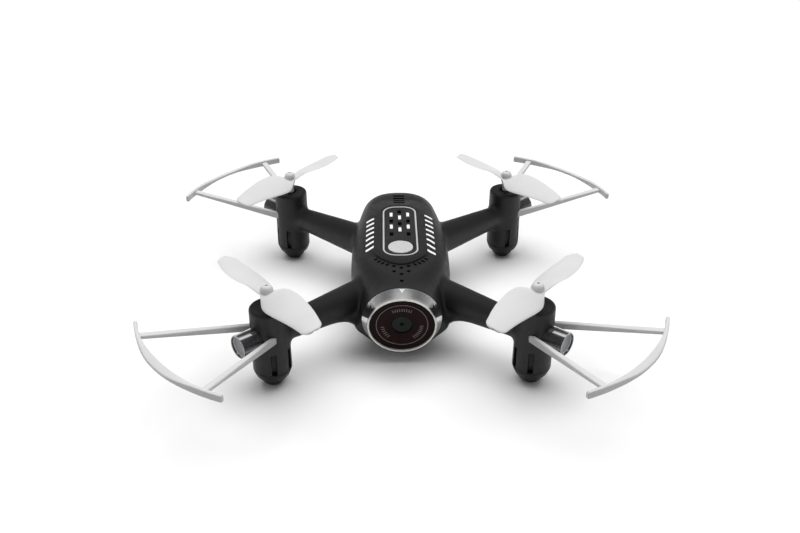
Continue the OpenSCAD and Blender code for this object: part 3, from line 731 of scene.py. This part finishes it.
made = [
    plastic("shell_black", (0.0125, 0.0125, 0.0130), 0.46, 0.30, 0.010, 0.10, Specular_IOR_Level=0.32),
    plastic("pod_black", (0.0066, 0.0066, 0.0070), 0.42, 0.30, 0.008, 0.12, Specular_IOR_Level=0.26),
    plastic("panel_black", (0.0150, 0.0150, 0.0155), 0.50, 0.22, 0.020, 0.20, Specular_IOR_Level=0.32),
    plastic("white_plastic", (0.64, 0.64, 0.64), 0.38, 0.8, 0.004, 0.02, 0.05,
            Subsurface_Weight=0.08, Subsurface_Radius=(0.001, 0.001, 0.001)),
    plastic("white_print", (0.86, 0.86, 0.86), 0.5, 0.3, 0.004, 0.03),
    plastic("silver_trim", (0.66, 0.66, 0.66), 0.34, 0.5, 0.004, 0.08, 0.08, Metallic=0.35),
    brushed("button_metal", (0.72, 0.72, 0.72), 0.42, (0.35, 1, 1), 0.3, 0.006, 0.16, 0.5, metal=0.45),
    chrome_material(),
    window_material(),
    plastic("camera_black", (0.012, 0.012, 0.012), 0.46, 0.25, 0.015, 0.2),
    plastic("barrel", (0.0125, 0.0165, 0.0155), 0.40, 0.5, 0.004, 0.15, 0.05, Specular_IOR_Level=0.12),
    plastic("lens_glass", (0.001, 0.0015, 0.002), 0.12, 2.0, 0.002, 0.2, 0.02, Specular_IOR_Level=0.03),
    board_material(),
    plastic("chip_black", (0.01, 0.01, 0.011), 0.4, 0.4, 0.01, 0.2),
    striped("ribbon", (0.42, 0.2, 0.06), 0.4, 330.0, "X", 0.0, 0.04),
    plastic("connector", (0.62, 0.60, 0.54), 0.45, 0.5, 0.006, 0.06),
    plastic("wire", (0.30, 0.02, 0.02), 0.4, 0.6, 0.006, 0.12),
    foil_material(),
    brushed("steel", (0.56, 0.56, 0.57), 0.28, (1, 1, 0.05), 0.4),
    brushed("magnet", (0.30, 0.30, 0.31), 0.35, (1, 1, 0.1), 0.5),
    striped("winding", (0.55, 0.24, 0.09), 0.3, 900.0, "Z", 0.6, 0.03, Metallic=0.8),
    clear_material(),
    frosted_material(),
    # lamp_rim: painted highlight, a light grey, partly metallic colour for the clear rims of the lights,
    # which look bright.
    plastic("lamp_rim", (0.62, 0.62, 0.63), 0.2, 0.6, 0.004, 0.2, 0.08, Metallic=0.3),
    plastic("led_board", (0.75, 0.75, 0.74), 0.4, 0.5, 0.006, 0.05),
    plastic("led_yellow", (0.70, 0.55, 0.16), 0.3, 0.6, 0.004, 0.1, 0.05, Coat_Weight=0.5),
    plastic("tick", (0.15, 0.13, 0.125), 0.4, 0.4, 0.003, 0.15),
    plastic("ring_print", (0.24, 0.175, 0.165), 0.4, 0.4, 0.003, 0.12),
]
looks = {material.name.split(".")[0]: material for material in made}
for name, obj in frame["nodes"].items():
    for slot_at, old in enumerate(obj.data.materials):
        if old and old.name.split(".")[0] in looks:
            obj.data.materials[slot_at] = looks[old.name.split(".")[0]]
    smooth(obj, 30)


# ---------- airframe ----------
SLOT_ANGLES = [math.degrees(GUARD_AXIS) + a for a in (-120, -62, 62, 120)]
LENS_Z = 15.9
GUARD_R, GUARD_Z, GUARD_HALF, GUARD_BACK = 46.4, 20.5, 27.0, 13.7
BAR_ROOT, BAR_TIP = (2.1, 1.3), (1.15, 2.0)  # height and width of a strut's section
ARC_END, ARC_MIDDLE = (1.05, 2.1), (2.2, 1.0)  # width and height of the arc's section


def guard_point(r, degrees, back, z):
    """A point at an angle from the guard's axis, about a centre that lies behind the motor axis."""
    a = GUARD_AXIS + math.radians(degrees)
    x = r * math.cos(a) - back * math.cos(GUARD_AXIS)
    return np.array([x, r * math.sin(a) - back * math.sin(GUARD_AXIS), z])


BAR_FOOT = guard_point(5.32, 62, 0, 16.5)
BAR_END = guard_point(GUARD_R, 19.8, GUARD_BACK, GUARD_Z - 0.1)
PANEL_Y = 4.0
BUTTON_Y = -6.5
MARK_X = 2.55
SQUARE_SPOTS = [(0, 16), (-MARK_X, 9.8), (MARK_X, 9.8), (0, 8.1), (-MARK_X, 1.4), (MARK_X, 1.4)]
INLAY_SPOTS = [(-MARK_X, 14.1), (MARK_X, 14.1), (0, 12.2), (-MARK_X, 6.1), (MARK_X, 6.1), (0, 4.3)]
SCREW_SPOTS = [(sx * x, y) for x, y in ((10.4, 21.5), (10.6, -11.5)) for sx in (-1, 1)]
DOOR_W = 16.6
DOOR_GAP = 0.12
DOOR_SWING = 4.55  # radius that the door's hinged end sweeps
VENT_Z = (20, 28)  # from and to, for the cutters of the vents


def strut(clear, back, front=1.0, twin=False):
    """A guard strut from its socket in the pod to the arc, about the rear right motor axis."""
    run = BAR_END - BAR_FOOT
    length = np.linalg.norm(run)
    along = run / length
    side = np.cross((0, 0, 1), along)
    side /= np.linalg.norm(side)
    up = np.cross(along, side)
    rings = []
    for t in np.linspace(-back, length + front, 2 if clear else 24):
        share = 0 if clear else ease(t / length)
        h, w = (a + (b - a) * share + 2 * clear for a, b in zip(BAR_ROOT, BAR_TIP))
        outline = rounded_rect(h, w, 0.38 + clear, 5)
        rings.append(BAR_FOOT + along * t - outline[:, :1] * up + outline[:, 1:] * side)
    bar = tube(rings)
    if twin:
        c, s = math.cos(2 * GUARD_AXIS), math.sin(2 * GUARD_AXIS)
        return moved(bar, [(c, s, 0), (s, -c, 0), (0, 0, 1)], mirror=True)
    return bar


def each_corner(part):
    return merge(*[to_corner(part, corner) for corner in CORNERS])


def cylinder(r, z0, z1, at=(0, 0), sides=48):
    return moved(lathe([(0, z0), (r, z0), (r, z1), (0, z1)], sides), offset=(*at, 0))


def build_airframe():
    """The moulded body with its pods, hollowed and cut, still in one."""
    step = 0.36
    whole = net_solid("airframe", airframe_distance, (-42, -42, 2.4), (42, 42, 27.4), step)
    cavity = net_solid("cavity", cavity_distance, (-15, -30, 4), (15, 39, 26), 0.7)
    for x, y in SCREW_SPOTS:
        boolean(cavity, cylinder(2.6, 0, 10.3, (x, y)))
        boolean(cavity, cylinder(1.85, 9, 30, (x, y)))
    boolean(whole, cavity)
    bore = [(0, 4), (4.4, 4), (4.4, 12), (3.55, 12), (3.55, 22.7), (1.9, 22.7), (1.9, 23.9), (2.15, 24.25),
            (2.2, 30), (0, 30)]
    lens_hole = [(0, 4.2), (3.35, 4.2), (3.35, 5.1), (3.6, 6.2), (3.6, 12), (0, 12)]
    slots = [moved(box_part((3.8, -0.75, 5.4), (6.8, 0.75, 11.8)), turn("Z", a)) for a in SLOT_ANGLES]
    arm_way, pod_way = ((0, -1.3, SEAM - 0.1), (32, 1.3, ARM_Z)), ((0, -1.3, 6.2), (4.75, 1.3, SEAM))
    cuts = [lathe(bore, 64), merge(*slots), outward(lathe(lens_hole, 64), LENS_Z)]
    cuts += [merge(strut(0.1, 1.15), strut(0.1, 1.15, twin=True))]
    cuts += [moved(box_part(*way), ARM_TURN) for way in (arm_way, pod_way)]
    for cut in cuts:
        boolean(whole, each_corner(cut))
    boolean(whole, to_nose(lathe([(0, -7.6), (10.05, -7.6), (10.05, -2.4), (10.6, 0.5), (0, 0.5)], 96)))
    return whole


def vent_cutters():
    """Round and slanted vents on the nose, and the slots of the tail grille."""
    spots = [(0, -17.4), (0, -20.75), (0, -24.1)]
    spots += [(side * 2.05, y) for side in (-1, 1) for y in (-16.45, -19.3)]
    cuts = [cylinder(0.56, *VENT_Z, spot, 24) for spot in spots]
    slot = slab(0.72, 1.5, 0.34, *VENT_Z, steps=4)
    for side in (-1, 1):
        for x, y in ((3.9, -15.6), (5.2, -14.85), (6.25, -13.85), (7.15, -12.6)):
            cuts.append(moved(slot, turn("Z", side * (28 + 2.2 * x)), (side * x, y, 0)))
    for y in 22.6 + 1.9 * np.arange(4):
        cuts.append(box_part((-1.8, y, VENT_Z[0]), (1.8, y + 1.1, VENT_Z[1])))
    return cuts


def lip_cutter():
    """A thin groove under the lip that runs across the nose."""
    rings = []
    reach = 7.4
    for x in np.linspace(-reach, reach, 61):
        y = LIP_Y + LIP_BEND * x * x - 0.42
        z = float(deck_height(np.array([abs(x)]), np.array([y]))[0])
        low = z - 0.42 * (1 - (abs(x) / reach) ** 6)
        rings.append([(x, y + 0.24, z + 1), (x, y - 0.2, z + 1), (x, y - 0.05, low), (x, y + 0.24, low)])
    return tube(rings)


def through_deck(w, l, z, spots):
    """Upright boxes from a height to above the deck."""
    return [box_part((x - w / 2, y - l / 2, z), (x + w / 2, y + l / 2, DECK + 1)) for x, y in spots]


def door_box(clear):
    lo = (-DOOR_W / 2 - clear, HINGE_Y - 3.7, HINGE_Z - clear)
    return box_part(lo, (DOOR_W / 2 + clear, HINGE_Y + 9, SEAM + 0.2))


def shell(name, height, clear, how):
    """A copy of the airframe, parted at a height; the pods stay whole, with the upper part."""
    below = solid("below", *box_part((-60, -60, 0), (60, 60, height)))
    boolean(below, each_corner(cylinder(5.34 + clear, 3, 30, sides=96)))
    return boolean(placed(name, whole.data.copy()), below, how)


whole = build_airframe()
for cutter in vent_cutters():
    boolean(whole, cutter)
boolean(whole, lip_cutter())
boolean(whole, slab(10.9, 31.9, 4.25, DECK - 0.85, DECK + 1, at=(0, PANEL_Y), steps=12))
boolean(whole, cylinder(3.95, DECK - 3, DECK + 1, (0, BUTTON_Y), 64))
boolean(whole, merge(*through_deck(1.15, 2.1, DECK - 3, SQUARE_SPOTS)))

belly = shell("airframe_belly", SEAM, 0.03, "INTERSECT")
top = shell("airframe_top", SEAM + 0.05, 0, "DIFFERENCE")
door = placed("tail_door", belly.data.copy())
remove(whole)

boolean(belly, door_box(DOOR_GAP))
door_sweep = cylinder(DOOR_SWING, -DOOR_W / 2 - DOOR_GAP, DOOR_W / 2 + DOOR_GAP, sides=96)
boolean(belly, moved(door_sweep, turn("Y", 90), (0, HINGE_Y, HINGE_Z)))
screw_well = lathe([(0, 0), (1.9, 0), (1.6, 4.4), (1.6, 8.6), (0, 8.6)], 32)
for x, y in SCREW_SPOTS:
    boolean(belly, moved(screw_well, offset=(x, y, 0)))
boolean(door, door_box(0), "INTERSECT")
boolean(door, box_part((-9, HINGE_Y - 6, 5), (9, HINGE_Y - 0.9, 14)))

for obj, body, node in ((top, "airframe", "top_shell"), (belly, "airframe", "bottom_shell"),
                        (door, "door", "battery_door")):
    moulded_normals(obj, airframe_distance)
    piece(obj, body, "shell_black", node, angle=None)


# ---------- deck panel and button ----------
def framed_ring(w, l, r, width, z0, z1, edge):
    """A flat ring that follows a rounded rectangle, with its top edges broken."""
    section = [(0, z0), (0, z1 - edge), (edge, z1), (width - edge, z1), (width, z1 - edge), (width, z0)]
    rings = []
    for inset, z in section:
        outline = rounded_rect(w - 2 * inset, l - 2 * inset, r - inset, 12)
        rings.append(level(outline + (0, PANEL_Y), z))
    return tube(rings, closed=True)


PANEL_W, PANEL_L = (mm_box("deck_panel")[1] - mm_box("deck_panel")[0])[:2]
panel = solid("panel", *slab(PANEL_W, PANEL_L, 4.2, DECK - 0.8, DECK, 0.1, at=(0, PANEL_Y), steps=12))
boolean(panel, framed_ring(PANEL_W - 0.5, PANEL_L - 0.5, 3.95, 0.5, DECK - 0.4, DECK + 1, 0.01))
boolean(panel, merge(*through_deck(0.9, 2.6, DECK - 0.4, INLAY_SPOTS)))
boolean(panel, merge(*[slab(1.15, 2.1, 0.15, DECK - 3, DECK + 1, at=spot, steps=3) for spot in SQUARE_SPOTS]))
button_well = [(0, DECK - 3), (3.95, DECK - 3), (3.95, DECK - 0.12), (4.08, DECK + 0.02), (4.08, DECK + 1),
               (0, DECK + 1)]
boolean(panel, moved(lathe(button_well, 72), offset=(0, BUTTON_Y, 0)))
piece(panel, "airframe", "panel_black", "deck_panel")

trim = framed_ring(PANEL_W - 0.52, PANEL_L - 0.52, 3.94, 0.48, DECK - 0.38, DECK + 0.06, 0.06)
piece(solid("panel_outline", *trim), "airframe", "silver_trim", "panel_trim")
marks = [slab(0.88, 2.58, 0.2, DECK - 0.38, DECK + 0.03, 0.05, at=spot, steps=4) for spot in INLAY_SPOTS]
piece(solid("panel_marks", *merge(*marks)), "airframe", "white_print", "panel_inlays")

button_low = mm_box("power_button")[0][2]
button_profile = [(0, button_low), (1.1, button_low), (1.1, 23.55), (4.4, 23.55), (4.45, 23.7), (4.45, 24.3),
                  (4.35, 24.45), (3.65, 24.45), (3.65, DECK - 0.02), (3.56, DECK + 0.09), (3.3, DECK + 0.13),
                  (0, DECK + 0.15)]
button = moved(lathe(button_profile, 80), offset=(0, BUTTON_Y, 0))
piece(solid("button_cap", *button), "button", "button_metal", "power_button")


# ---------- camera ----------
def polar(r, degrees):
    return r * math.cos(math.radians(degrees)), r * math.sin(math.radians(degrees))


def cone_z(r):
    """Height of the bezel's sloping face at a radius."""
    return -(r - 9.55) * 2.3 / 1.55


def nose_piece(name, part, slot, node=None, look=None):
    piece(solid(name, *to_nose(part)), "airframe", slot, node, look)


bezel_profile = [(8.3, -5), (8.3, -0.9), (9.06, -0.9), (9.06, 0.42), (9.12, 0.52), (9.25, 0.6), (9.42, 0.57),
                 (9.55, 0.42), (9.6, 0), (9.62, -0.1), (11.0, -2.16), (11.1, -2.34), (11.08, -2.55),
                 (9.95, -2.55), (9.95, -5)]
bezel = solid("nose_bezel", *to_nose(lathe(bezel_profile, 160)))
notch = [(11.5, 6), (11.5, 27.5), (10.6, 27.3), (10.35, 28.5), (10.62, 37.5), (10.25, 35), (9.95, 34),
         (9.57, 42), (9.57, 15)]
outline = np.array([polar(r, a) for r, a in notch])
for shape in (outline, (outline * (-1, 1))[::-1]):
    boolean(bezel, to_nose(tube([level(shape, z) for z in (-4.4, 1.0)])))
piece(bezel, "airframe", "bezel_chrome", "camera_bezel", angle=25)

triangle = [polar(11.05, 94), polar(10.49, 90), polar(11.05, 86)]
mark = tube([[(x, y, cone_z(math.hypot(x, y)) + lift) for x, y in triangle] for lift in (-0.15, 0.05)])
nose_piece("bezel_mark", mark, "white_print")

lugs = []
for side in (1, -1):
    rings = []
    for a in np.linspace(6.9, 40, 20):
        c, s = polar(1, a)
        rim_r = 11.1 if a < 26.8 else 10.3 if a < 38 else 9.9
        top_edge = [(r, cone_z(r) - 0.12) for r in np.linspace(rim_r, 9.62, 6)]
        rings.append([(side * r * c, r * s, z) for r, z in [(9.62, -2.5), (rim_r, -2.5)] + top_edge])
    lugs.append(moved(tube(rings), mirror=side > 0))
cup = [(2.9, -4.4), (8.25, -4.4), (8.25, -0.95), (8.1, -0.9), (7.2, -0.9), (7.2, -3.4), (2.9, -3.4)]
nose_piece("camera_cup", merge(lathe(cup, 96), *lugs), "camera_black", "camera_housing")

window_profile = [(2.9, -0.85), (9.03, -0.85), (9.03, -0.06), (8.95, 0), (3.05, 0), (2.9, -0.12)]
nose_piece("window_disc", lathe(window_profile, 160), "window_maroon", "camera_window")
ring_profile = [(7.02, -0.03), (7.2, -0.03), (7.2, 0.012), (7.02, 0.012)]
nose_piece("window_ring", lathe(ring_profile, 160), "window_maroon", look="ring_print")

ticks = []
for centre, reach in ((90, 27), (207, 20), (332, 24)):
    for a in np.linspace(-reach, reach, int(reach / 3.0)):
        dash = slab(0.26, 1.05, 0.1, -0.03, 0.012, at=(0, 5.45), steps=2)
        ticks.append(moved(dash, turn("Z", centre - 90 + a)))
nose_piece("window_ticks", merge(*ticks), "window_maroon", look="tick")

barrel_profile = [(0, -6.8), (3.6, -6.8), (3.6, -5.1), (2.85, -5.1), (2.85, -0.42), (2.78, -0.33),
                  (2.62, -0.3), (2.3, -0.4), (1.2, -0.44), (0.62, -0.46), (0.52, -0.62), (0.52, -1.2),
                  (1.0, -1.3), (1.0, -2.2), (0, -2.2)]
nose_piece("lens_barrel", lathe(barrel_profile, 96), "camera_black", "camera_barrel", "barrel")


# ---------- propellers ----------
def propeller_part():
    """Two twisted blades in one ribbon, about the motor axis at rest."""
    reach, corner = 23.0, 2.1
    lead_at = ([0, 1.2, 2, 3, 4, 6, 8, 10, 14, 17, 20, 23],
               [2.0, 2.45, 2.95, 3.6, 4.1, 4.65, 4.9, 4.9, 4.6, 4.05, 3.3, 2.6])
    trail_at = ([0, 1.2, 2, 3, 4, 6, 8, 10, 14, 18, 21, 23],
                [2.0, 2.5, 3.1, 3.8, 4.2, 4.35, 4.25, 4.0, 3.45, 2.95, 2.8, 2.7])
    lead, trail = (smooth_table(np.array(at), np.array(size) * 1.03, 0.7) for at, size in (lead_at, trail_at))
    pitch_at = smooth_table(np.array([-23, -14, -6, -3, 0, 3, 6, 14, 23.0]),
                            np.array([-10, -13, -21, -27, 0, 27, 21, 13, 10.0]), 1.2)
    tip = reach - corner * (1 - np.sin(np.linspace(0, math.pi / 2, 9)[1:]))
    half = np.concatenate([np.linspace(0, reach - corner, 30), tip])
    across = 0.5 - 0.5 * np.cos(np.linspace(0, math.pi, 14))
    w = 2 * across - 1
    rings = []
    for s in np.concatenate([-half[:0:-1], half]):
        a = abs(s)
        past = max(a - reach + corner, 0) / corner
        cut = corner * (1 - math.sqrt(max(0, 1 - past ** 2)))
        front, back = np.interp(a, *lead) - cut, np.interp(a, *trail) - cut
        hi, lo = (front, -back) if s >= 0 else (back, -front)
        v = lo + (hi - lo) * across
        thick = 0.28 * (1 - 0.35 * a / reach) * np.maximum(1 - w**4, 0) ** 0.5 + 0.02
        camber = 0.42 * (1 - w * w) * ease(a / 4.0)
        along = np.concatenate([v, v[-2:0:-1]])
        height = np.concatenate([camber - thick, (camber + thick)[-2:0:-1]])
        p = math.radians(np.interp(s, *pitch_at))
        y = along * math.cos(p) - height * math.sin(p)
        z = along * math.sin(p) + height * math.cos(p)
        rings.append(np.column_stack([np.full(len(y), s), y, z + PROP_Z]))
    return tube(rings)


blades = moved(propeller_part(), turn("Z", 126.5))
hub_profile = [(0, 24.2), (1.05, 24.2), (1.15, 26.2), (1.4, 26.9), (1.6, 27.5), (1.68, 28.0), (1.7, 28.5),
               (1.7, 29.5), (1.64, 29.92), (1.48, 30.3), (1.22, 30.6), (0.9, 30.76), (0.6, 30.8), (0, 30.8)]
hub = lathe(hub_profile, 48)
shaft_hole = lathe([(0, 20), (0.39, 20), (0.39, 30.7), (0.5, 30.85), (0.5, 40), (0, 40)], 24)
for corner in CORNERS:
    prop = solid("blades_" + corner, *to_corner(blades, corner))
    boolean(prop, to_corner(hub, corner), "UNION")
    boolean(prop, to_corner(shaft_hole, corner))
    piece(prop, corner + "_rotor", "white_plastic", "propeller_" + corner, angle=38)


# ---------- guards ----------
def arc_part():
    """The guard's arc, upright at its ends and flat in the middle."""
    rings = []
    tip = math.degrees(0.35 / GUARD_R)
    stops = [(-GUARD_HALF, 0.78), (-GUARD_HALF + tip * 0.4, 0.93), (-GUARD_HALF + tip, 1)]
    stops += [(a, 1) for a in np.linspace(-GUARD_HALF + 2 * tip, GUARD_HALF - 2 * tip, 72)]
    stops += [(-a, k) for a, k in stops[2::-1]]
    for a, k in stops:
        share = ease((abs(a) / GUARD_HALF - 0.12) / 0.62)
        w, h = (middle + (end - middle) * share for end, middle in zip(ARC_END, ARC_MIDDLE))
        lean = 0.24 * (1 - share)
        outline = rounded_rect(w, h, 0.34, 5)
        places = [(GUARD_R + x * k, GUARD_Z - (y + lean * x) * k) for x, y in outline]
        rings.append([guard_point(r, a, GUARD_BACK, z) for r, z in places])
    return tube(rings)


for corner in CORNERS:
    guard = solid("bumper_" + corner, *to_corner(arc_part(), corner))
    for twin in (False, True):
        boolean(guard, to_corner(strut(0, 1.0, 0.1, twin), corner), "UNION")
    piece(guard, "airframe", "white_plastic", "guard_" + corner, angle=35)


# ---------- feet and lights ----------
foot_profile = [(0, 0), (1.75, 0), (1.95, 0.06), (2.35, 0.38), (2.9, 1.25), (3.12, 1.25), (3.2, 1.32),
                (3.6, 2.1), (4.3, 3.05), (4.46, 3.05), (4.54, 3.12), (5.0, 4.15), (5.28, 5.08), (5.29, 5.19),
                (4.35, 5.19), (4.35, 11.9), (3.65, 11.9), (3.65, 5.7), (0, 5.7)]
foot_body = lathe(foot_profile, 72)
wire_gap = moved(box_part((3.35, -1.3, 5.7), (5.35, 1.3, 15.7)), ARM_TURN)
opening = box_part((4.05, -0.75, 5.45), (5.55, 0.75, 7.45))
openings = merge(*[moved(opening, turn("Z", a)) for a in SLOT_ANGLES])
tab = tube([[(4.0, -0.55, z), (face, -0.55, z), (face, 0.55, z), (4.0, 0.55, z)]
            for z, face in ((7.5, 4.72), (10.6, 4.72), (11.4, 4.32))])
LIGHT_PARTS = [  # name, look and (radius, reach) profiles, from the barrel to the diffuser
    ("light_lens_", "clear_plastic", [[(2.8, 4.25), (3.3, 4.25), (3.3, 9.98), (3.24, 10.14), (3.1, 10.2),
                                       (2.9, 10.2), (2.8, 10.1)]]),
    ("light_rim_", "lamp_rim", [[(3.02, 10.1), (3.2, 10.1), (3.26, 10.2), (3.12, 10.3), (3.02, 10.26)],
                                [(2.55, 9.4), (2.8, 9.4), (2.8, 9.72), (2.68, 9.78), (2.55, 9.7)]]),
    ("light_face_", "frosted", [[(0, 8.9), (2.78, 8.9), (2.78, 9.45), (2.2, 9.5), (0, 9.55)]]),
]
for corner in CORNERS:
    foot = solid("foot_" + corner, *to_corner(foot_body, corner))
    boolean(foot, to_corner(wire_gap, corner))
    boolean(foot, to_corner(openings, corner))
    for a in SLOT_ANGLES:
        boolean(foot, to_corner(moved(tab, turn("Z", a)), corner), "UNION")
    piece(foot, "airframe", "pod_black", "foot_cap_" + corner)

    for name, look, profiles in LIGHT_PARTS:
        part = outward(merge(*[lathe(profile, 64) for profile in profiles]), LENS_Z)
        light = solid(name + corner, *to_corner(part, corner))
        piece(light, "airframe", "clear_plastic", "led_lens_" + corner, look)


# ---------- side marks ----------
def surface_height(x, y):
    """Height of the moulded surface over points of the deck."""
    z = np.full(len(x), 27.5)
    for _ in range(40):
        z -= airframe_distance(np.column_stack([x, y, z])) * 0.9
    return z


def side_dash(x0, y0, w, l, slant):
    """A slanted painted dash laid on the moulded surface, in rings of points across its width."""
    u, v = np.meshgrid(np.linspace(-0.5, 0.5, 9), np.linspace(-0.5, 0.5, 5), indexing="ij")
    x, y = x0 + u * w, y0 + v * l + u * slant
    z = surface_height(x.ravel(), y.ravel()).reshape(x.shape)
    under, over = (np.stack([x, y, z + lift], 2) for lift in (-0.12, 0.03))
    return tube(np.concatenate([under, over[:, ::-1]], 1))


dashes = []
for x, low, high, count in ((-8.95, -7.4, 11.2, 7), (8.9, -9.4, 13.3, 8)):
    for y in np.linspace(low + 0.6, high - 0.6, count):
        dashes.append(side_dash(x, y, 2.3, 1.05, 1.5 * math.copysign(1, -x)))
piece(solid("side_dashes", *merge(*dashes)), "airframe", "white_print")


# ---------- floor, light and camera ----------
def stage_floor():
    """A pale floor that is brighter to the camera than to the light that bounces off it."""
    floor = solid("floor", *box_part((-4000, -4000, -20), (4000, 4000, -0.02)))
    look = Look("floor", (0.93, 0.93, 0.93), 0.9)
    ray = look.node("LightPath").outputs["Is Diffuse Ray"]
    pale = look.tone(look.spread(look.noise(60), 0.0, 1.0), 0.01)
    look.links.new(look.blend(ray, pale, (0.5, 0.5, 0.5)), look.shader.inputs["Base Color"])
    look.shader.inputs["Specular IOR Level"].default_value = 0.0
    far = look.spread(look.away((0, 0, 0)), 0, 0.85, 260 * MM, 1200 * MM)
    glow = look.times(far, look.math("SUBTRACT", 1, ray))
    look.links.new(glow, look.shader.inputs["Emission Strength"])
    look.shader.inputs["Emission Color"].default_value = (1, 1, 1, 1)
    floor.data.materials.append(look.material)


def overhead_light():
    """A wide soft panel above and behind the drone, which shiny surfaces don't mirror."""
    at = (20, 100, 690)
    light = bpy.data.lights.new("overhead", "AREA")
    light.shape = "RECTANGLE"
    light.size, light.size_y = 980 * MM, 760 * MM
    light.energy = 6.5
    obj = placed("overhead", light)
    obj.location = [c * MM for c in at]
    obj.rotation_euler = (Vector((0, 0, 10)) - Vector(at)).to_track_quat("-Z", "Y").to_euler()
    obj.visible_glossy = False


def sky(studio, up, stops):
    """Grey levels of the studio by the sine of the elevation."""
    ramp = studio.node("ValToRGB", {0: up})
    while len(ramp.color_ramp.elements) < len(stops):
        ramp.color_ramp.elements.new(0.5)
    for element, (height, grey) in zip(ramp.color_ramp.elements, stops):
        element.position = height
        element.color = (grey, grey, grey, 1)
    return ramp.outputs[0]


def studio_world():
    """Soft surroundings: one sky lights the drone, another is mirrored in it, and the backdrop is plain."""
    world = bpy.data.worlds.new("studio")
    bpy.context.scene.world = world
    studio = Nodes(world)
    way = studio.node("SeparateXYZ", {0: studio.node("TexCoord").outputs["Generated"]}).outputs
    ray = studio.node("LightPath").outputs
    lighting = sky(studio, way["Z"], [(0.0, 0.22), (0.9, 0.60)])
    mirrored = sky(studio, way["Z"], [(0.0, 0.85), (0.25, 0.60), (0.6, 0.45), (0.85, 0.40), (1.0, 0.95)])
    colour = studio.blend(ray["Is Glossy Ray"], lighting, mirrored)
    colour = studio.blend(ray["Is Camera Ray"], colour, (1.6, 1.6, 1.6))
    background = studio.nodes["Background"].inputs
    studio.links.new(colour, background["Color"])
    studio.links.new(studio.spread(way["Y"], 0.56, 0.80, -1, 1), background["Strength"])


def photo_camera():
    """A camera at the photograph's viewing angle."""
    data = bpy.data.cameras.new("camera")
    data.lens, data.sensor_width = 41.67, 36
    data.clip_start, data.clip_end = 0.01, 20
    camera = placed("camera", data)
    turned = Matrix.Identity(4)
    for degrees, axis in ((-1.041, "Z"), (90 - 30.0, "X"), (0.0833, "Z")):
        turned = turned @ Matrix.Rotation(math.radians(degrees), 4, axis)
    camera.matrix_world = Matrix.Translation(Vector((-4.43, -241.5, 155.1)) * MM) @ turned
    bpy.context.scene.camera = camera


stage_floor()
overhead_light()
studio_world()
photo_camera()
bpy.context.scene.view_settings.view_transform = "Standard"
